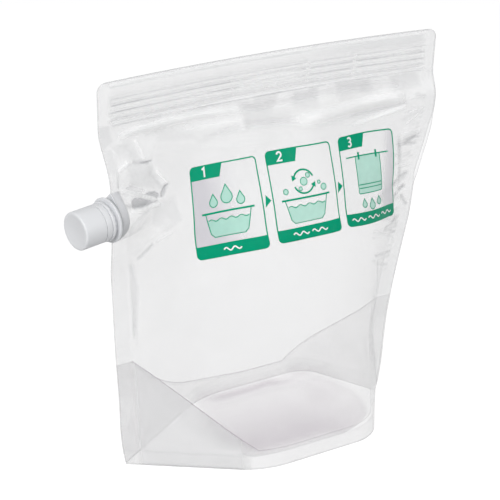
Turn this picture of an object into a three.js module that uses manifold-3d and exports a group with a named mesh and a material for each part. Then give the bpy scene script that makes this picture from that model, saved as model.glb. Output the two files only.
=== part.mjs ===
// A clear stand-up soaking pouch: two film walls, a folded bottom gusset, a double press zip and a capped
// side spout. Millimetres, +Z up, X across the pouch with the spout at -X, the printed wall facing -Y.
import * as THREE from 'three';
import { mergeVertices } from 'three/addons/utils/BufferGeometryUtils.js';
import Module from 'manifold-3d';

// Film walls
const PANEL_WIDTH = 330; // flat width of a wall, both side seals included
const PANEL_HEIGHT = 378; // standing height
const FILM = 0.25; // film thickness
const WELD_GAP = 0.3; // between faces that are welded together
const SIDE_SEAL = 16; // width of the side seals
const BOTTOM_SEAL = 16; // height of the bottom seals
const TOP_CORNER = 8; // radius of the two top corners
const FOOT_SEAL = 3; // below the gusset's fold the side seals part in two, down to this width
const FOOT_OPEN = 100; // height at which they start to part
const FOOT_CUT_WIDTH = 3; // how far the bottom corners are cut back
const FOOT_CUT_HEIGHT = 46; // height at which that cut starts

// Standing shape
const BELLY = 66.5; // how far each wall stands out at the base
const BELLY_POWER = 3.6; // how late the belly closes towards the zip
const FOOT_LEFT_RAMP = 115; // film between the left seal and the flat front, at the base
const FOOT_RIGHT_RAMP = 67;
const CHEST_LEFT_RAMP = 144; // the same just under the zip, where the wall is rounder
const CHEST_RIGHT_RAMP = 134;
const FOOT_SOFTNESS = 0.2; // share of a ramp that is rounded off
const CHEST_SOFTNESS = 1.05;
const SWAY = 8.5; // the lower part stands this far to the left
const SWAY_LOW = 80; // heights between which it leans over
const SWAY_HIGH = 250;
const CURL = 8; // the right seal curls forward by this much under the zip
const CURL_WIDTH = 80;
const CURL_DROP = 25; // from the tapes down to the most curled place
const CURL_FADE = 90;
const HEADER_BOW = 9; // the closed zip curves back by this much at its middle
const BOW_FADE = 150; // height over which that curve dies out below the zip

// Bottom gusset
const GUSSET_DEPTH = 110; // from the base to its fold in the side seals, and so half its flat length
const FRONT_LEFT_WING = 112; // film that lies flat on a wall beside a side seal, at each corner
const FRONT_RIGHT_WING = 54;
const BACK_LEFT_WING = 180;
const BACK_RIGHT_WING = 90;
const BACK_LEFT_CURVE = 2.4; // that corner's line runs out in a curve, the others are straight
const WING_START = 19; // height at which the gusset leaves the walls between the wings
const WING_SLACK = 1.8; // the wings are not welded above the seal and stand this far off
const FOLD_RADIUS = 0.6;
const FOLD_MARGIN = 1.8; // above the fold, before the side seals close on film alone
const FLOOR_GAP = 0.8; // the opened bottom hangs down to this height
const FLOOR_SOFTNESS = 8; // rounding where it starts to lie flat

// Press zip
const ZIP_TOP = 11; // from the top edge down to the tapes
const ZIP_HEIGHT = 25;
const ZIP_INSET = 11; // tapes stop short of the side edges
const ZIP_STACK = 4; // both tapes, closed
const ZIP_MARGIN = 1; // film that stays parallel above and below the tapes
const TAPE = 0.4; // tape thickness
const TRACK_DROPS = [7.5, 17]; // from the tape's top to the middle of each track
const STEM = 0.8; // rib: width of its stem, of its head, and how far the head reaches over the middle
const HEAD = 1.7;
const HEAD_REACH = 1;
const LIP = 0.5; // channel: depth of its lips, wall of its jaws
const JAW = 0.6;
const TRACK_GAP = 0.3; // clearance between rib and channel

// Spout and cap, along the spout's own axis, which starts at the film's edge
const SPOUT_DROP = 115; // from the top edge down to the axis
const SPOUT_YAW = THREE.MathUtils.degToRad(14); // the spout points this far to the front
const BASE_THICKNESS = 30; // weld base, across the walls
const BASE_LENGTH = 46; // weld base, along the seal
const BASE_DEPTH = 8.5; // weld base, along the axis
const BASE_FADE = 52; // film over which the walls close in again behind the weld base
const BASE_BLEND = 8; // rounding where that swell meets the belly
const PULL_STRAIGHT = 20; // film that stays in line with the spout, and the bend behind it
const PULL_BEND = 60;
const PULL_FADE = 50; // height over which the bent seal straightens above and below
const BORE = 22;
const NECK = 28; // outer diameter over the thread
const NECK_ROOT = 29;
const FLANGE = 39;
const FLANGE_START = 3;
const FLANGE_WIDTH = 2;
const BEAD = 34.4;
const BEAD_START = 7.6;
const BEAD_WIDTH = 2.4;
const BAND_WIDTH = 5.4; // tamper band
const CAP = 33;
const CAP_LENGTH = 20.8;
const CAP_TOP = 1.8;
const CAP_EDGE = 1.6; // rounding of the cap's outer edge
const FIT = 0.3; // clearance between cap, band, gasket and neck
const GASKET = 1.2;

// Mesh fineness
const ROUND_SEGMENTS = 36;
const COLUMN_STEP = 16;
const SEAL_STEP = 6; // first step of film beside a side seal
const ROW_STEP = 23;
const EDGE_STEPS = 4;
const HANG_STEPS = 12;
const WALK = 1; // step of the walk along a section
const STEEPEST = 0.2; // least level way that a step of it makes
const TINY = 1e-6;
const SHALLOW_ARC = 3 / 8; // of a shallow arc: sag squared over span times slack

const zipBottom = PANEL_HEIGHT - ZIP_TOP - ZIP_HEIGHT;
const zipTop = PANEL_HEIGHT - ZIP_TOP;
const spoutHeight = PANEL_HEIGHT - SPOUT_DROP;
const baseHalf = BASE_LENGTH / 2;
const layer = FILM + WELD_GAP;
const foldTop = GUSSET_DEPTH + FOLD_MARGIN;

const { clamp, lerp, smoothstep } = THREE.MathUtils;

// Smooth minimum and maximum: they round off over `soft` where the two values meet.
function softMin(a, b, soft) {
  const near = Math.max(soft - Math.abs(a - b), 0);
  return Math.min(a, b) - (near * near) / (4 * soft);
}

function softMax(a, b, soft) {
  return -softMin(-a, -b, soft);
}

// Evenly spaced values from `from` to `to`, no further apart than `step`.
function spread(from, to, step) {
  const count = Math.max(1, Math.ceil((to - from) / step - TINY));
  return Array.from({ length: count + 1 }, (_, i) => lerp(from, to, i / count));
}

// Stations through all the given breaks, no further apart than `step`.
function stations(breaks, step) {
  const sorted = [...breaks].sort((a, b) => a - b);
  const stops = sorted.filter((b, i) => i === 0 || b - sorted[i - 1] > TINY);
  return stops.slice(1).flatMap((b, i) => spread(stops[i], b, step).slice(i ? 1 : 0));
}

// Half thickness of the weld base at a height above the spout's axis.
function baseHalfThickness(rise) {
  const t = clamp(Math.abs(rise) / baseHalf, 0, 1);
  return (BASE_THICKNESS / 2) * Math.cos((t * Math.PI) / 2);
}

// Share in which the seal is held in line with the spout, at a height.
function held(z) {
  return 1 - smoothstep(Math.abs(z - spoutHeight), baseHalf, baseHalf + PULL_FADE);
}

// Share of the right seal's curl at a height.
function curled(z) {
  const most = zipBottom - CURL_DROP;
  return smoothstep(z, most - CURL_FADE, most) * (1 - smoothstep(z, most, zipBottom - ZIP_MARGIN));
}

// Middle plane of the pouch: the bowed zip and the seal that turns to the front at the spout.
function middle(s, z) {
  const across = (2 * s) / PANEL_WIDTH - 1;
  const bow = HEADER_BOW * smoothstep(z, zipBottom - BOW_FADE, zipBottom) * (1 - across * across);
  const onBase = held(z) * (1 - smoothstep(s, SIDE_SEAL, SIDE_SEAL + BASE_FADE));
  const bend = clamp((PULL_STRAIGHT + PULL_BEND - s) / PULL_BEND, 0, 1);
  const straight = Math.max(PULL_STRAIGHT - s, 0);
  const pull = straight + (PULL_BEND / 2) * bend * bend;
  const curl = CURL * curled(z) * smoothstep(s, PANEL_WIDTH - CURL_WIDTH, PANEL_WIDTH);
  return bow * (1 - onBase) - Math.sin(SPOUT_YAW) * held(z) * pull - curl;
}

// How far a wall stands out from the middle plane, before the layers between the walls are counted.
function belly(s, z) {
  const height = clamp(z / zipBottom, 0, 1);
  const reach = BELLY * (1 - Math.pow(height, BELLY_POWER));
  const soft = lerp(FOOT_SOFTNESS, CHEST_SOFTNESS, height);
  const seal = lerp(FOOT_SEAL, SIDE_SEAL, smoothstep(z, 0, FOOT_OPEN));
  const parted = SIDE_SEAL - seal;
  const left = (s - seal) / (parted + lerp(FOOT_LEFT_RAMP, CHEST_LEFT_RAMP, height));
  const right = (PANEL_WIDTH - seal - s) / (parted + lerp(FOOT_RIGHT_RAMP, CHEST_RIGHT_RAMP, height));
  const ramp = softMin(softMin(left, right, soft), 1, soft);
  return reach * clamp(ramp, 0, 1);
}

function spoutSwell(s, z) {
  const close = 1 - smoothstep(s, SIDE_SEAL, SIDE_SEAL + BASE_FADE);
  const thick = baseHalfThickness(z - spoutHeight);
  return thick > 0 ? (thick + WELD_GAP / 2) * close : 0;
}

// What lies between the walls where they are welded: nothing, the folded gusset, or the zip tapes.
function packing(s, z) {
  const edge = Math.min(s, PANEL_WIDTH - s);
  const gusset = layer * (1 - smoothstep(z, foldTop, foldTop + SIDE_SEAL));
  const inZip = smoothstep(z, zipBottom - BOTTOM_SEAL, zipBottom - ZIP_MARGIN)
    * (1 - smoothstep(z, zipTop + ZIP_MARGIN, PANEL_HEIGHT));
  const run = smoothstep(edge, 0, ZIP_INSET);
  return (WELD_GAP + FILM) / 2 + gusset + (ZIP_STACK / 2 + WELD_GAP / 2) * inZip * run;
}

// Distance of a wall's middle surface from the middle plane.
function standOut(s, z) {
  const full = belly(s, z);
  const swell = spoutSwell(s, z);
  const near = 1 - smoothstep(Math.abs(z - spoutHeight), baseHalf, baseHalf + SIDE_SEAL);
  const soft = BASE_BLEND * near * smoothstep(s, SIDE_SEAL, SIDE_SEAL * 2);
  return softMax(full, swell, Math.max(soft, TINY)) + packing(s, z);
}

// A level section keeps the film's width: each step along the film uses up some of it in depth.
const sections = new Map();

function section(z) {
  if (sections.has(z)) return sections.get(z);
  const steps = Math.round(PANEL_WIDTH / WALK);
  const run = PANEL_WIDTH / steps;
  const walked = [0];
  for (let i = 1; i <= steps; i += 1) {
    const s = i * run;
    const turn = (middle(s, z) - middle(s - run, z)) / run;
    const out = (belly(s, z) - belly(s - run, z)) / run;
    const level = Math.sqrt(Math.max(1 - turn * turn - out * out, STEEPEST * STEEPEST));
    walked.push(walked[i - 1] + run * level);
  }
  const own = -walked[steps] / 2 - SWAY * (1 - smoothstep(z, SWAY_LOW, SWAY_HIGH));
  const offset = z === spoutHeight ? own : lerp(own, section(spoutHeight)(0), held(z));
  const at = (s) => {
    const i = clamp(Math.floor(s / run), 0, steps - 1);
    return offset + lerp(walked[i], walked[i + 1], s / run - i);
  };
  sections.set(z, at);
  return at;
}

// The walls' side edges: rounded at the top, cut back at the foot.
function edgeInset(z) {
  const up = clamp(z - (PANEL_HEIGHT - TOP_CORNER), 0, TOP_CORNER);
  const foot = clamp(1 - z / FOOT_CUT_HEIGHT, 0, 1);
  return TOP_CORNER - Math.sqrt(TOP_CORNER * TOP_CORNER - up * up) + FOOT_CUT_WIDTH * foot * foot;
}

function trimmed(s, z) {
  const inset = edgeInset(z);
  const left = Math.max(1 - s / SIDE_SEAL, 0);
  const right = Math.max(1 - (PANEL_WIDTH - s) / SIDE_SEAL, 0);
  return s + inset * (left - right);
}

// Point at a signed distance from the middle plane, square to it in plan.
function offMiddle(s, z, out) {
  const turn = (middle(s + WALK, z) - middle(s - WALK, z)) / (2 * WALK);
  const square = Math.sqrt(1 - turn * turn);
  return new THREE.Vector3(section(z)(s) - out * turn, middle(s, z) + out * square, z);
}

function wallPoint(s, z, side) {
  const t = trimmed(s, z);
  return offMiddle(t, z, side * standOut(t, z));
}

// Closed sheet around a grid of middle points: both faces are half a film away, and a rim joins them. Its
// first and last rows are cut level.
function sheetGeometry(grid, thickness) {
  const rows = grid.length;
  const columns = grid[0].length;
  const faces = [[], []];
  const along = new THREE.Vector3();
  const down = new THREE.Vector3();
  for (let j = 0; j < rows; j += 1) {
    for (let i = 0; i < columns; i += 1) {
      along.subVectors(grid[j][Math.min(i + 1, columns - 1)], grid[j][Math.max(i - 1, 0)]);
      down.subVectors(grid[Math.min(j + 1, rows - 1)][i], grid[Math.max(j - 1, 0)][i]);
      const normal = new THREE.Vector3().crossVectors(along, down);
      if (j === 0 || j === rows - 1) normal.setZ(0);
      normal.normalize();
      faces[0].push(grid[j][i].clone().addScaledVector(normal, thickness / 2));
      faces[1].push(grid[j][i].clone().addScaledVector(normal, -thickness / 2));
    }
  }
  const index = [];
  const count = rows * columns;
  const quad = (a, b, c, d) => index.push(a, b, c, a, c, d);
  for (let j = 0; j + 1 < rows; j += 1) {
    for (let i = 0; i + 1 < columns; i += 1) {
      const a = j * columns + i;
      const b = a + 1;
      const c = b + columns;
      const d = a + columns;
      // Both faces are split along the shorter diagonal.
      const falling = grid[j][i].distanceTo(grid[j + 1][i + 1]);
      const rising = grid[j][i + 1].distanceTo(grid[j + 1][i]);
      if (falling < rising) {
        quad(a, b, c, d);
        quad(count + c, count + b, count + a, count + d);
      } else {
        quad(b, c, d, a);
        quad(count + d, count + c, count + b, count + a);
      }
    }
  }
  for (let i = 0; i + 1 < columns; i += 1) {
    const last = (rows - 1) * columns + i;
    quad(i, count + i, count + i + 1, i + 1);
    quad(last, last + 1, count + last + 1, count + last);
  }
  for (let j = 0; j + 1 < rows; j += 1) {
    const a = j * columns;
    const b = a + columns - 1;
    quad(a, a + columns, count + a + columns, count + a);
    quad(b, count + b, count + b + columns, b + columns);
  }
  const geometry = new THREE.BufferGeometry();
  geometry.setFromPoints([...faces[0], ...faces[1]]);
  geometry.setIndex(index);
  return geometry;
}

// Stations across and up the walls. Both walls and the gusset share the columns, so that welded sheets
// stay parallel.
const columns = stations(
  [
    0,
    ZIP_INSET,
    SIDE_SEAL,
    SIDE_SEAL + SEAL_STEP,
    SIDE_SEAL + BASE_FADE,
    PANEL_WIDTH - SIDE_SEAL - FOOT_RIGHT_RAMP,
    PANEL_WIDTH - SIDE_SEAL - SEAL_STEP,
    PANEL_WIDTH - SIDE_SEAL,
    PANEL_WIDTH - ZIP_INSET,
    PANEL_WIDTH,
  ],
  COLUMN_STEP,
);
const baseRises = spread(-baseHalf, baseHalf, baseHalf / EDGE_STEPS);
const rows = stations(
  [
    0,
    BOTTOM_SEAL,
    foldTop,
    foldTop + SIDE_SEAL,
    ...baseRises.map((rise) => spoutHeight + rise),
    zipBottom - BOTTOM_SEAL,
    zipBottom - ZIP_MARGIN,
    zipTop + ZIP_MARGIN,
    PANEL_HEIGHT - TOP_CORNER,
    PANEL_HEIGHT - TOP_CORNER / 2,
    PANEL_HEIGHT,
  ],
  ROW_STEP,
).filter((z) => z < zipBottom || z > zipTop).reverse();

function wallGeometry(side) {
  const order = side < 0 ? columns : [...columns].reverse();
  const grid = rows.map((z) => order.map((s) => wallPoint(s, z, side)));
  return sheetGeometry(grid, FILM);
}

// Shares of the hug height at which the gusset has its rows: those of the walls where it is highest.
const hugShares = rows
  .filter((z) => z >= BOTTOM_SEAL && z < GUSSET_DEPTH - FOLD_MARGIN)
  .map((z) => (z - BOTTOM_SEAL) / (GUSSET_DEPTH - BOTTOM_SEAL))
  .reverse();

// Gusset, one section at a time: each half lies on its wall up to the hug height, and the film between the
// two hangs down, to the floor where it is long enough.
function wing(reach, length, curve = 1) {
  return Math.pow(clamp(1 - reach / length, 0, 1), curve);
}

function hugHeight(left, right) {
  return lerp(WING_START, GUSSET_DEPTH, Math.max(left, right));
}

// Film of the given length that hangs between two points. In the side seals it is folded upwards instead.
function hang(start, end, length, folded) {
  const span = start.distanceTo(end);
  const drop = Math.sqrt(span * Math.max(length - span, 0) * SHALLOW_ARC);
  const rise = FOLD_RADIUS * folded - drop;
  return spread(0, 1, 1 / HANG_STEPS).slice(1, -1).map((t) => {
    const z = lerp(start.y, end.y, t) + rise * 4 * t * (1 - t);
    return new THREE.Vector2(lerp(start.x, end.x, t), softMax(z, FLOOR_GAP, FLOOR_SOFTNESS));
  });
}

function gussetSection(s) {
  const edge = Math.min(s, PANEL_WIDTH - s);
  const folded = 1 - smoothstep(edge, SIDE_SEAL, SIDE_SEAL * 2);
  const loose = WING_SLACK * (1 - folded);
  const onWall = (z, side) => {
    const slack = loose * smoothstep(z, BOTTOM_SEAL, WING_START);
    return new THREE.Vector2(side * (standOut(s, z) - layer - slack), z);
  };
  const rise = (hug, side) => [0, ...hugShares.map((share) => lerp(BOTTOM_SEAL, hug, share)), hug]
    .map((z) => onWall(z, side));
  const left = s - SIDE_SEAL;
  const right = PANEL_WIDTH - SIDE_SEAL - s;
  const frontHug = hugHeight(wing(left, FRONT_LEFT_WING), wing(right, FRONT_RIGHT_WING));
  const backHug = hugHeight(wing(left, BACK_LEFT_WING, BACK_LEFT_CURVE), wing(right, BACK_RIGHT_WING));
  const front = rise(frontHug, -1);
  const back = rise(backHug, 1);
  const length = 2 * GUSSET_DEPTH - frontHug - backHug;
  return [...front, ...hang(front.at(-1), back.at(-1), length, folded), ...back.reverse()];
}

function gussetGeometry() {
  const profiles = columns.map((s) => gussetSection(s));
  const grid = profiles[0].map((_, j) => columns.map((s, i) => {
    const { x: out, y: z } = profiles[i][j];
    return offMiddle(trimmed(s, z), z, out);
  }));
  return sheetGeometry(grid, FILM);
}

// Zip tapes: a profile across the closed pouch (depth, height), swept along the bowed header.
function sweptGeometry(profile) {
  const path = columns.filter((s) => s >= ZIP_INSET && s <= PANEL_WIDTH - ZIP_INSET);
  const points = path.flatMap((s) => profile.map((p) => offMiddle(s, p.y, p.x)));
  const n = profile.length;
  const last = (path.length - 1) * n;
  const index = [];
  for (let k = 0; k + 1 < path.length; k += 1) {
    for (let i = 0; i < n; i += 1) {
      const a = k * n + i;
      const b = k * n + ((i + 1) % n);
      index.push(a, b, b + n, a, b + n, a + n);
    }
  }
  THREE.ShapeUtils.triangulateShape(profile, []).forEach(([a, b, c]) => {
    index.push(a, c, b, last + a, last + b, last + c);
  });
  const geometry = new THREE.BufferGeometry();
  geometry.setFromPoints(points);
  geometry.setIndex(index);
  return geometry;
}

const tapeInside = ZIP_STACK / 2 - TAPE;
const trackHeights = TRACK_DROPS.map((drop) => zipTop - drop);

// Counter-clockwise in (depth, height): the tape's outer face down, then up its inside with the tracks.
function ribProfile() {
  const start = [[-ZIP_STACK / 2, zipTop], [-ZIP_STACK / 2, zipBottom], [-tapeInside, zipBottom]];
  const tracks = [...trackHeights].sort((a, b) => a - b).flatMap((z) => [
    [-tapeInside, z - STEM / 2],
    [HEAD_REACH - HEAD / 2, z - STEM / 2],
    [HEAD_REACH - HEAD / 2, z - HEAD / 2],
    [HEAD_REACH, z - STEM / 2],
    [HEAD_REACH, z + STEM / 2],
    [HEAD_REACH - HEAD / 2, z + HEAD / 2],
    [HEAD_REACH - HEAD / 2, z + STEM / 2],
    [-tapeInside, z + STEM / 2],
  ]);
  return [...start, ...tracks, [-tapeInside, zipTop]].map(([x, y]) => new THREE.Vector2(x, y));
}

function channelProfile() {
  const mouth = HEAD_REACH - HEAD / 2 - TRACK_GAP; // inner face of the lips
  const pocket = HEAD / 2 + TRACK_GAP;
  const throat = STEM / 2 + TRACK_GAP;
  const start = [[ZIP_STACK / 2, zipBottom], [ZIP_STACK / 2, zipTop], [tapeInside, zipTop]];
  const jaw = (z, way) => [
    [tapeInside, z + way * (pocket + JAW)],
    [mouth - LIP, z + way * (pocket + JAW)],
    [mouth - LIP, z + way * throat],
    [mouth, z + way * throat],
    [mouth, z + way * pocket],
    [tapeInside, z + way * pocket],
  ];
  const tracks = [...trackHeights].sort((a, b) => b - a).flatMap((z) => [
    ...jaw(z, 1),
    ...jaw(z, -1).reverse(),
  ]);
  return [...start, ...tracks, [tapeInside, zipBottom]].map(([x, y]) => new THREE.Vector2(x, y));
}

const bandStart = BEAD_START + BEAD_WIDTH + FIT;
const capStart = bandStart + BAND_WIDTH + FIT;
const capCrown = capStart + CAP_LENGTH;
const capCeiling = capCrown - CAP_TOP;
const gasketStart = capCeiling - FIT - GASKET;
const neckTop = gasketStart - FIT;

// Turned pieces of the spout: an outline of (radius, place along the axis), closed on itself.
function turned(outline) {
  const points = outline.map(([r, w]) => new THREE.Vector2(r, w));
  return new THREE.LatheGeometry([...points, points[0].clone()], ROUND_SEGMENTS);
}

function toSolid(wasm, geometry) {
  const bare = geometry.clone();
  bare.deleteAttribute('normal');
  bare.deleteAttribute('uv');
  const merged = mergeVertices(bare, 1e-4);
  return new wasm.Manifold(new wasm.Mesh({
    numProp: 3,
    vertProperties: merged.attributes.position.array,
    triVerts: new Uint32Array(merged.index.array),
  }));
}

function fromSolid(solid) {
  const mesh = solid.getMesh();
  const geometry = new THREE.BufferGeometry();
  geometry.setAttribute('position', new THREE.BufferAttribute(mesh.vertProperties, mesh.numProp));
  geometry.setIndex(new THREE.BufferAttribute(mesh.triVerts, 1));
  return geometry;
}

// Weld base: a boat-shaped block between the walls.
function weldBaseGeometry() {
  const side = baseRises.map((rise) => new THREE.Vector2(baseHalfThickness(rise), rise));
  const other = side.slice(1, -1).reverse().map((p) => new THREE.Vector2(-p.x, p.y));
  const boat = new THREE.ExtrudeGeometry(new THREE.Shape([...side, ...other]), {
    depth: BASE_DEPTH,
    bevelEnabled: false,
  });
  return boat.rotateX(Math.PI / 2);
}

async function spoutGeometry() {
  const wasm = await Module();
  wasm.setup();
  const neck = turned([
    [BORE / 4, -BASE_DEPTH + WELD_GAP],
    [NECK_ROOT / 2, -BASE_DEPTH + WELD_GAP],
    [NECK_ROOT / 2, FLANGE_START],
    [FLANGE / 2, FLANGE_START],
    [FLANGE / 2, FLANGE_START + FLANGE_WIDTH],
    [NECK_ROOT / 2, FLANGE_START + FLANGE_WIDTH],
    [NECK_ROOT / 2, BEAD_START],
    [BEAD / 2, BEAD_START],
    [BEAD / 2, BEAD_START + BEAD_WIDTH],
    [NECK / 2, BEAD_START + BEAD_WIDTH],
    [NECK / 2, neckTop],
    [BORE / 4, neckTop],
  ]);
  const bore = new THREE.CylinderGeometry(BORE / 2, BORE / 2, PANEL_WIDTH, ROUND_SEGMENTS);
  const solid = toSolid(wasm, weldBaseGeometry()).add(toSolid(wasm, neck)).subtract(toSolid(wasm, bore));
  return fromSolid(solid);
}

function bandGeometry() {
  const inner = NECK / 2 + FIT;
  return turned([
    [inner, bandStart],
    [CAP / 2, bandStart],
    [CAP / 2, bandStart + BAND_WIDTH],
    [inner, bandStart + BAND_WIDTH],
  ]);
}

function capGeometry() {
  const inner = NECK / 2 + FIT;
  const edge = spread(0, Math.PI / 2, Math.PI / 2 / EDGE_STEPS).map((turn) => [
    CAP / 2 - CAP_EDGE * (1 - Math.cos(turn)),
    capCrown - CAP_EDGE * (1 - Math.sin(turn)),
  ]);
  const outline = [
    [0, capCeiling],
    [inner, capCeiling],
    [inner, capStart],
    [CAP / 2, capStart],
    ...edge,
    [0, capCrown],
  ];
  return new THREE.LatheGeometry(outline.map(([r, w]) => new THREE.Vector2(r, w)), ROUND_SEGMENTS);
}

function gasketGeometry() {
  const end = gasketStart + GASKET;
  const outline = [[0, gasketStart], [NECK / 2, gasketStart], [NECK / 2, end], [0, end]];
  return new THREE.LatheGeometry(outline.map(([r, w]) => new THREE.Vector2(r, w)), ROUND_SEGMENTS);
}

const film = { color: 0xe8eaec, roughness: 0.12, metalness: 0, transparent: true, opacity: 0.35 };
const tape = { color: 0xe4e7ea, roughness: 0.2, metalness: 0, transparent: true, opacity: 0.55 };
const moulding = { color: 0xdcdfe2, roughness: 0.42, metalness: 0 };
const lining = { color: 0xeeeeea, roughness: 0.7, metalness: 0 };

function named(name, geometry, look) {
  const mesh = new THREE.Mesh(geometry, new THREE.MeshStandardMaterial(look));
  mesh.name = name;
  return mesh;
}

// The spout's frame: its axis runs along +Y there, from the film's edge outwards.
function spoutGroup(pieces) {
  const group = new THREE.Group();
  group.position.set(section(spoutHeight)(0), middle(0, spoutHeight), spoutHeight);
  group.rotation.z = Math.PI / 2 + SPOUT_YAW;
  group.add(...pieces);
  return group;
}

const pouch = new THREE.Group();
pouch.add(
  named('front_panel', wallGeometry(-1), film),
  named('back_panel', wallGeometry(1), film),
  named('bottom_gusset', gussetGeometry(), film),
  named('front_zip_tape', sweptGeometry(ribProfile()), tape),
  named('back_zip_tape', sweptGeometry(channelProfile()), tape),
  spoutGroup([
    named('spout', await spoutGeometry(), moulding),
    named('tamper_band', bandGeometry(), moulding),
    named('cap', capGeometry(), moulding),
    named('cap_gasket', gasketGeometry(), lining),
  ]),
);

// The origin is under the middle of the whole object's box.
const part = new THREE.Group();
part.add(pouch);
part.updateMatrixWorld(true);
const box = new THREE.Box3().setFromObject(pouch, true);
pouch.position.set(-(box.min.x + box.max.x) / 2, -(box.min.y + box.max.y) / 2, -box.min.z);

export default part;
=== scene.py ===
import math
import bmesh
import bpy
import numpy as np
from mathutils import Matrix, Vector


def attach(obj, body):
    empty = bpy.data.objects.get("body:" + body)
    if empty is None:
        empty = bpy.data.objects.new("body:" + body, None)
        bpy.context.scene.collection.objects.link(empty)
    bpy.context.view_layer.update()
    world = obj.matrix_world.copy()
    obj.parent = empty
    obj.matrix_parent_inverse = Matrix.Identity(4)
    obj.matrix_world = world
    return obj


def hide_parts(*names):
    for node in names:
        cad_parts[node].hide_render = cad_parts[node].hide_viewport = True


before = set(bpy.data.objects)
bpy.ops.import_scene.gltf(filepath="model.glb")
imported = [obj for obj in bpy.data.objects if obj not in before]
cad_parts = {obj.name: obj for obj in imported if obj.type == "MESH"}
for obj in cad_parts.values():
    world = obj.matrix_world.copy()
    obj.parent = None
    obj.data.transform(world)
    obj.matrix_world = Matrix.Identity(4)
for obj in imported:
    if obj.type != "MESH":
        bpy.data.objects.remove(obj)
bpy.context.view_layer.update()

MM = 0.001  # the script works in millimetres, the scene is in metres

# Film walls, as in the part's source
PANEL_WIDTH = 330.0
PANEL_HEIGHT = 378.0
FILM = 0.25
WELD_GAP = 0.3
SIDE_SEAL = 16.0
BOTTOM_SEAL = 16.0
TOP_CORNER = 8.0
FOOT_SEAL = 3.0
FOOT_OPEN = 100.0
FOOT_CUT_WIDTH = 3.0
FOOT_CUT_HEIGHT = 46.0

# Standing shape
BELLY = 66.5
BELLY_POWER = 3.6
FOOT_LEFT_RAMP = 115.0
FOOT_RIGHT_RAMP = 67.0
CHEST_LEFT_RAMP = 144.0
CHEST_RIGHT_RAMP = 134.0
FOOT_SOFTNESS = 0.2
CHEST_SOFTNESS = 1.05
SWAY = 8.5
SWAY_LOW = 80.0
SWAY_HIGH = 250.0
CURL = 8.0
CURL_WIDTH = 80.0
CURL_DROP = 25.0
CURL_FADE = 90.0
HEADER_BOW = 9.0
BOW_FADE = 150.0

# Bottom gusset
GUSSET_DEPTH = 110.0
FRONT_LEFT_WING = 112.0
FRONT_RIGHT_WING = 54.0
BACK_LEFT_WING = 180.0
BACK_RIGHT_WING = 90.0
BACK_LEFT_CURVE = 2.4
WING_START = 19.0
WING_SLACK = 1.8
FOLD_RADIUS = 0.6
FOLD_MARGIN = 1.8
FLOOR_GAP = 0.8
FLOOR_SOFTNESS = 8.0
SHALLOW_ARC = 3 / 8

# Press zip
ZIP_TOP = 11.0
ZIP_HEIGHT = 25.0
ZIP_INSET = 11.0
ZIP_STACK = 4.0
ZIP_MARGIN = 1.0
TAPE = 0.4
TRACK_DROPS = (7.5, 17.0)
STEM = 0.8
HEAD = 1.7
HEAD_REACH = 1.0
LIP = 0.5
JAW = 0.6
TRACK_GAP = 0.3

# Spout and cap, along the spout's axis from the film's edge
SPOUT_DROP = 115.0
SPOUT_YAW = math.radians(14)
BASE_THICKNESS = 30.0
BASE_LENGTH = 46.0
BASE_DEPTH = 8.5
BASE_FADE = 52.0
BASE_BLEND = 8.0
PULL_STRAIGHT = 20.0
PULL_BEND = 60.0
PULL_FADE = 50.0
BORE = 22.0
NECK = 28.0
NECK_ROOT = 29.0
FLANGE = 39.0
FLANGE_START = 3.0
FLANGE_WIDTH = 2.0
BEAD = 34.4
BEAD_START = 7.6
BEAD_WIDTH = 2.4
BAND_WIDTH = 5.4
CAP = 33.0
CAP_LENGTH = 20.8
CAP_TOP = 1.8
CAP_EDGE = 1.6
FIT = 0.3
GASKET = 1.2
POUCH_SHIFT = 17.2922  # from the middle of the zip to the middle of the object's box

zip_bottom = PANEL_HEIGHT - ZIP_TOP - ZIP_HEIGHT
zip_top = PANEL_HEIGHT - ZIP_TOP
track_heights = [zip_top - drop for drop in TRACK_DROPS]
spout_height = PANEL_HEIGHT - SPOUT_DROP
base_half = BASE_LENGTH / 2
layer = FILM + WELD_GAP
fold_top = GUSSET_DEPTH + FOLD_MARGIN

# Fineness of the film
FILM_COLUMNS = ((0, 1.6), (8, 1.1), (70, 2.1), (330, 2.1))  # from this place on, this step
FILM_ROWS = ((0, 2.6), (205, 1.4), (338, 0.45), (378, 0.45))
GUSSET_COLUMNS = 161
HUG_ROWS = 22
HANG_ROWS = 96
ROUND_STEPS = 96
WALK = 1.0
HEIGHT_STEP = 2.0
STEEPEST = 0.2
TINY = 1e-6


# Helpers, all on arrays
def smoothstep(x, low, high):
    t = np.clip((x - low) / (high - low), 0, 1)
    return t * t * (3 - 2 * t)


def bell(x, half):
    return np.exp(-(x / half) ** 2)


def between(a, b, share):
    return a + (b - a) * share


def soft_min(a, b, soft):
    near = np.maximum(soft - np.abs(a - b), 0)
    return np.minimum(a, b) - near * near / (4 * soft)


def soft_max(a, b, soft):
    return -soft_min(-a, -b, soft)


# Standing shape of the pouch, in film coordinates: s across the film from the spout's edge, z upwards
def held(z):
    return 1 - smoothstep(np.abs(z - spout_height), base_half, base_half + PULL_FADE)


def curled(z):
    most = zip_bottom - CURL_DROP
    return smoothstep(z, most - CURL_FADE, most) * (1 - smoothstep(z, most, zip_bottom - ZIP_MARGIN))


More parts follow.
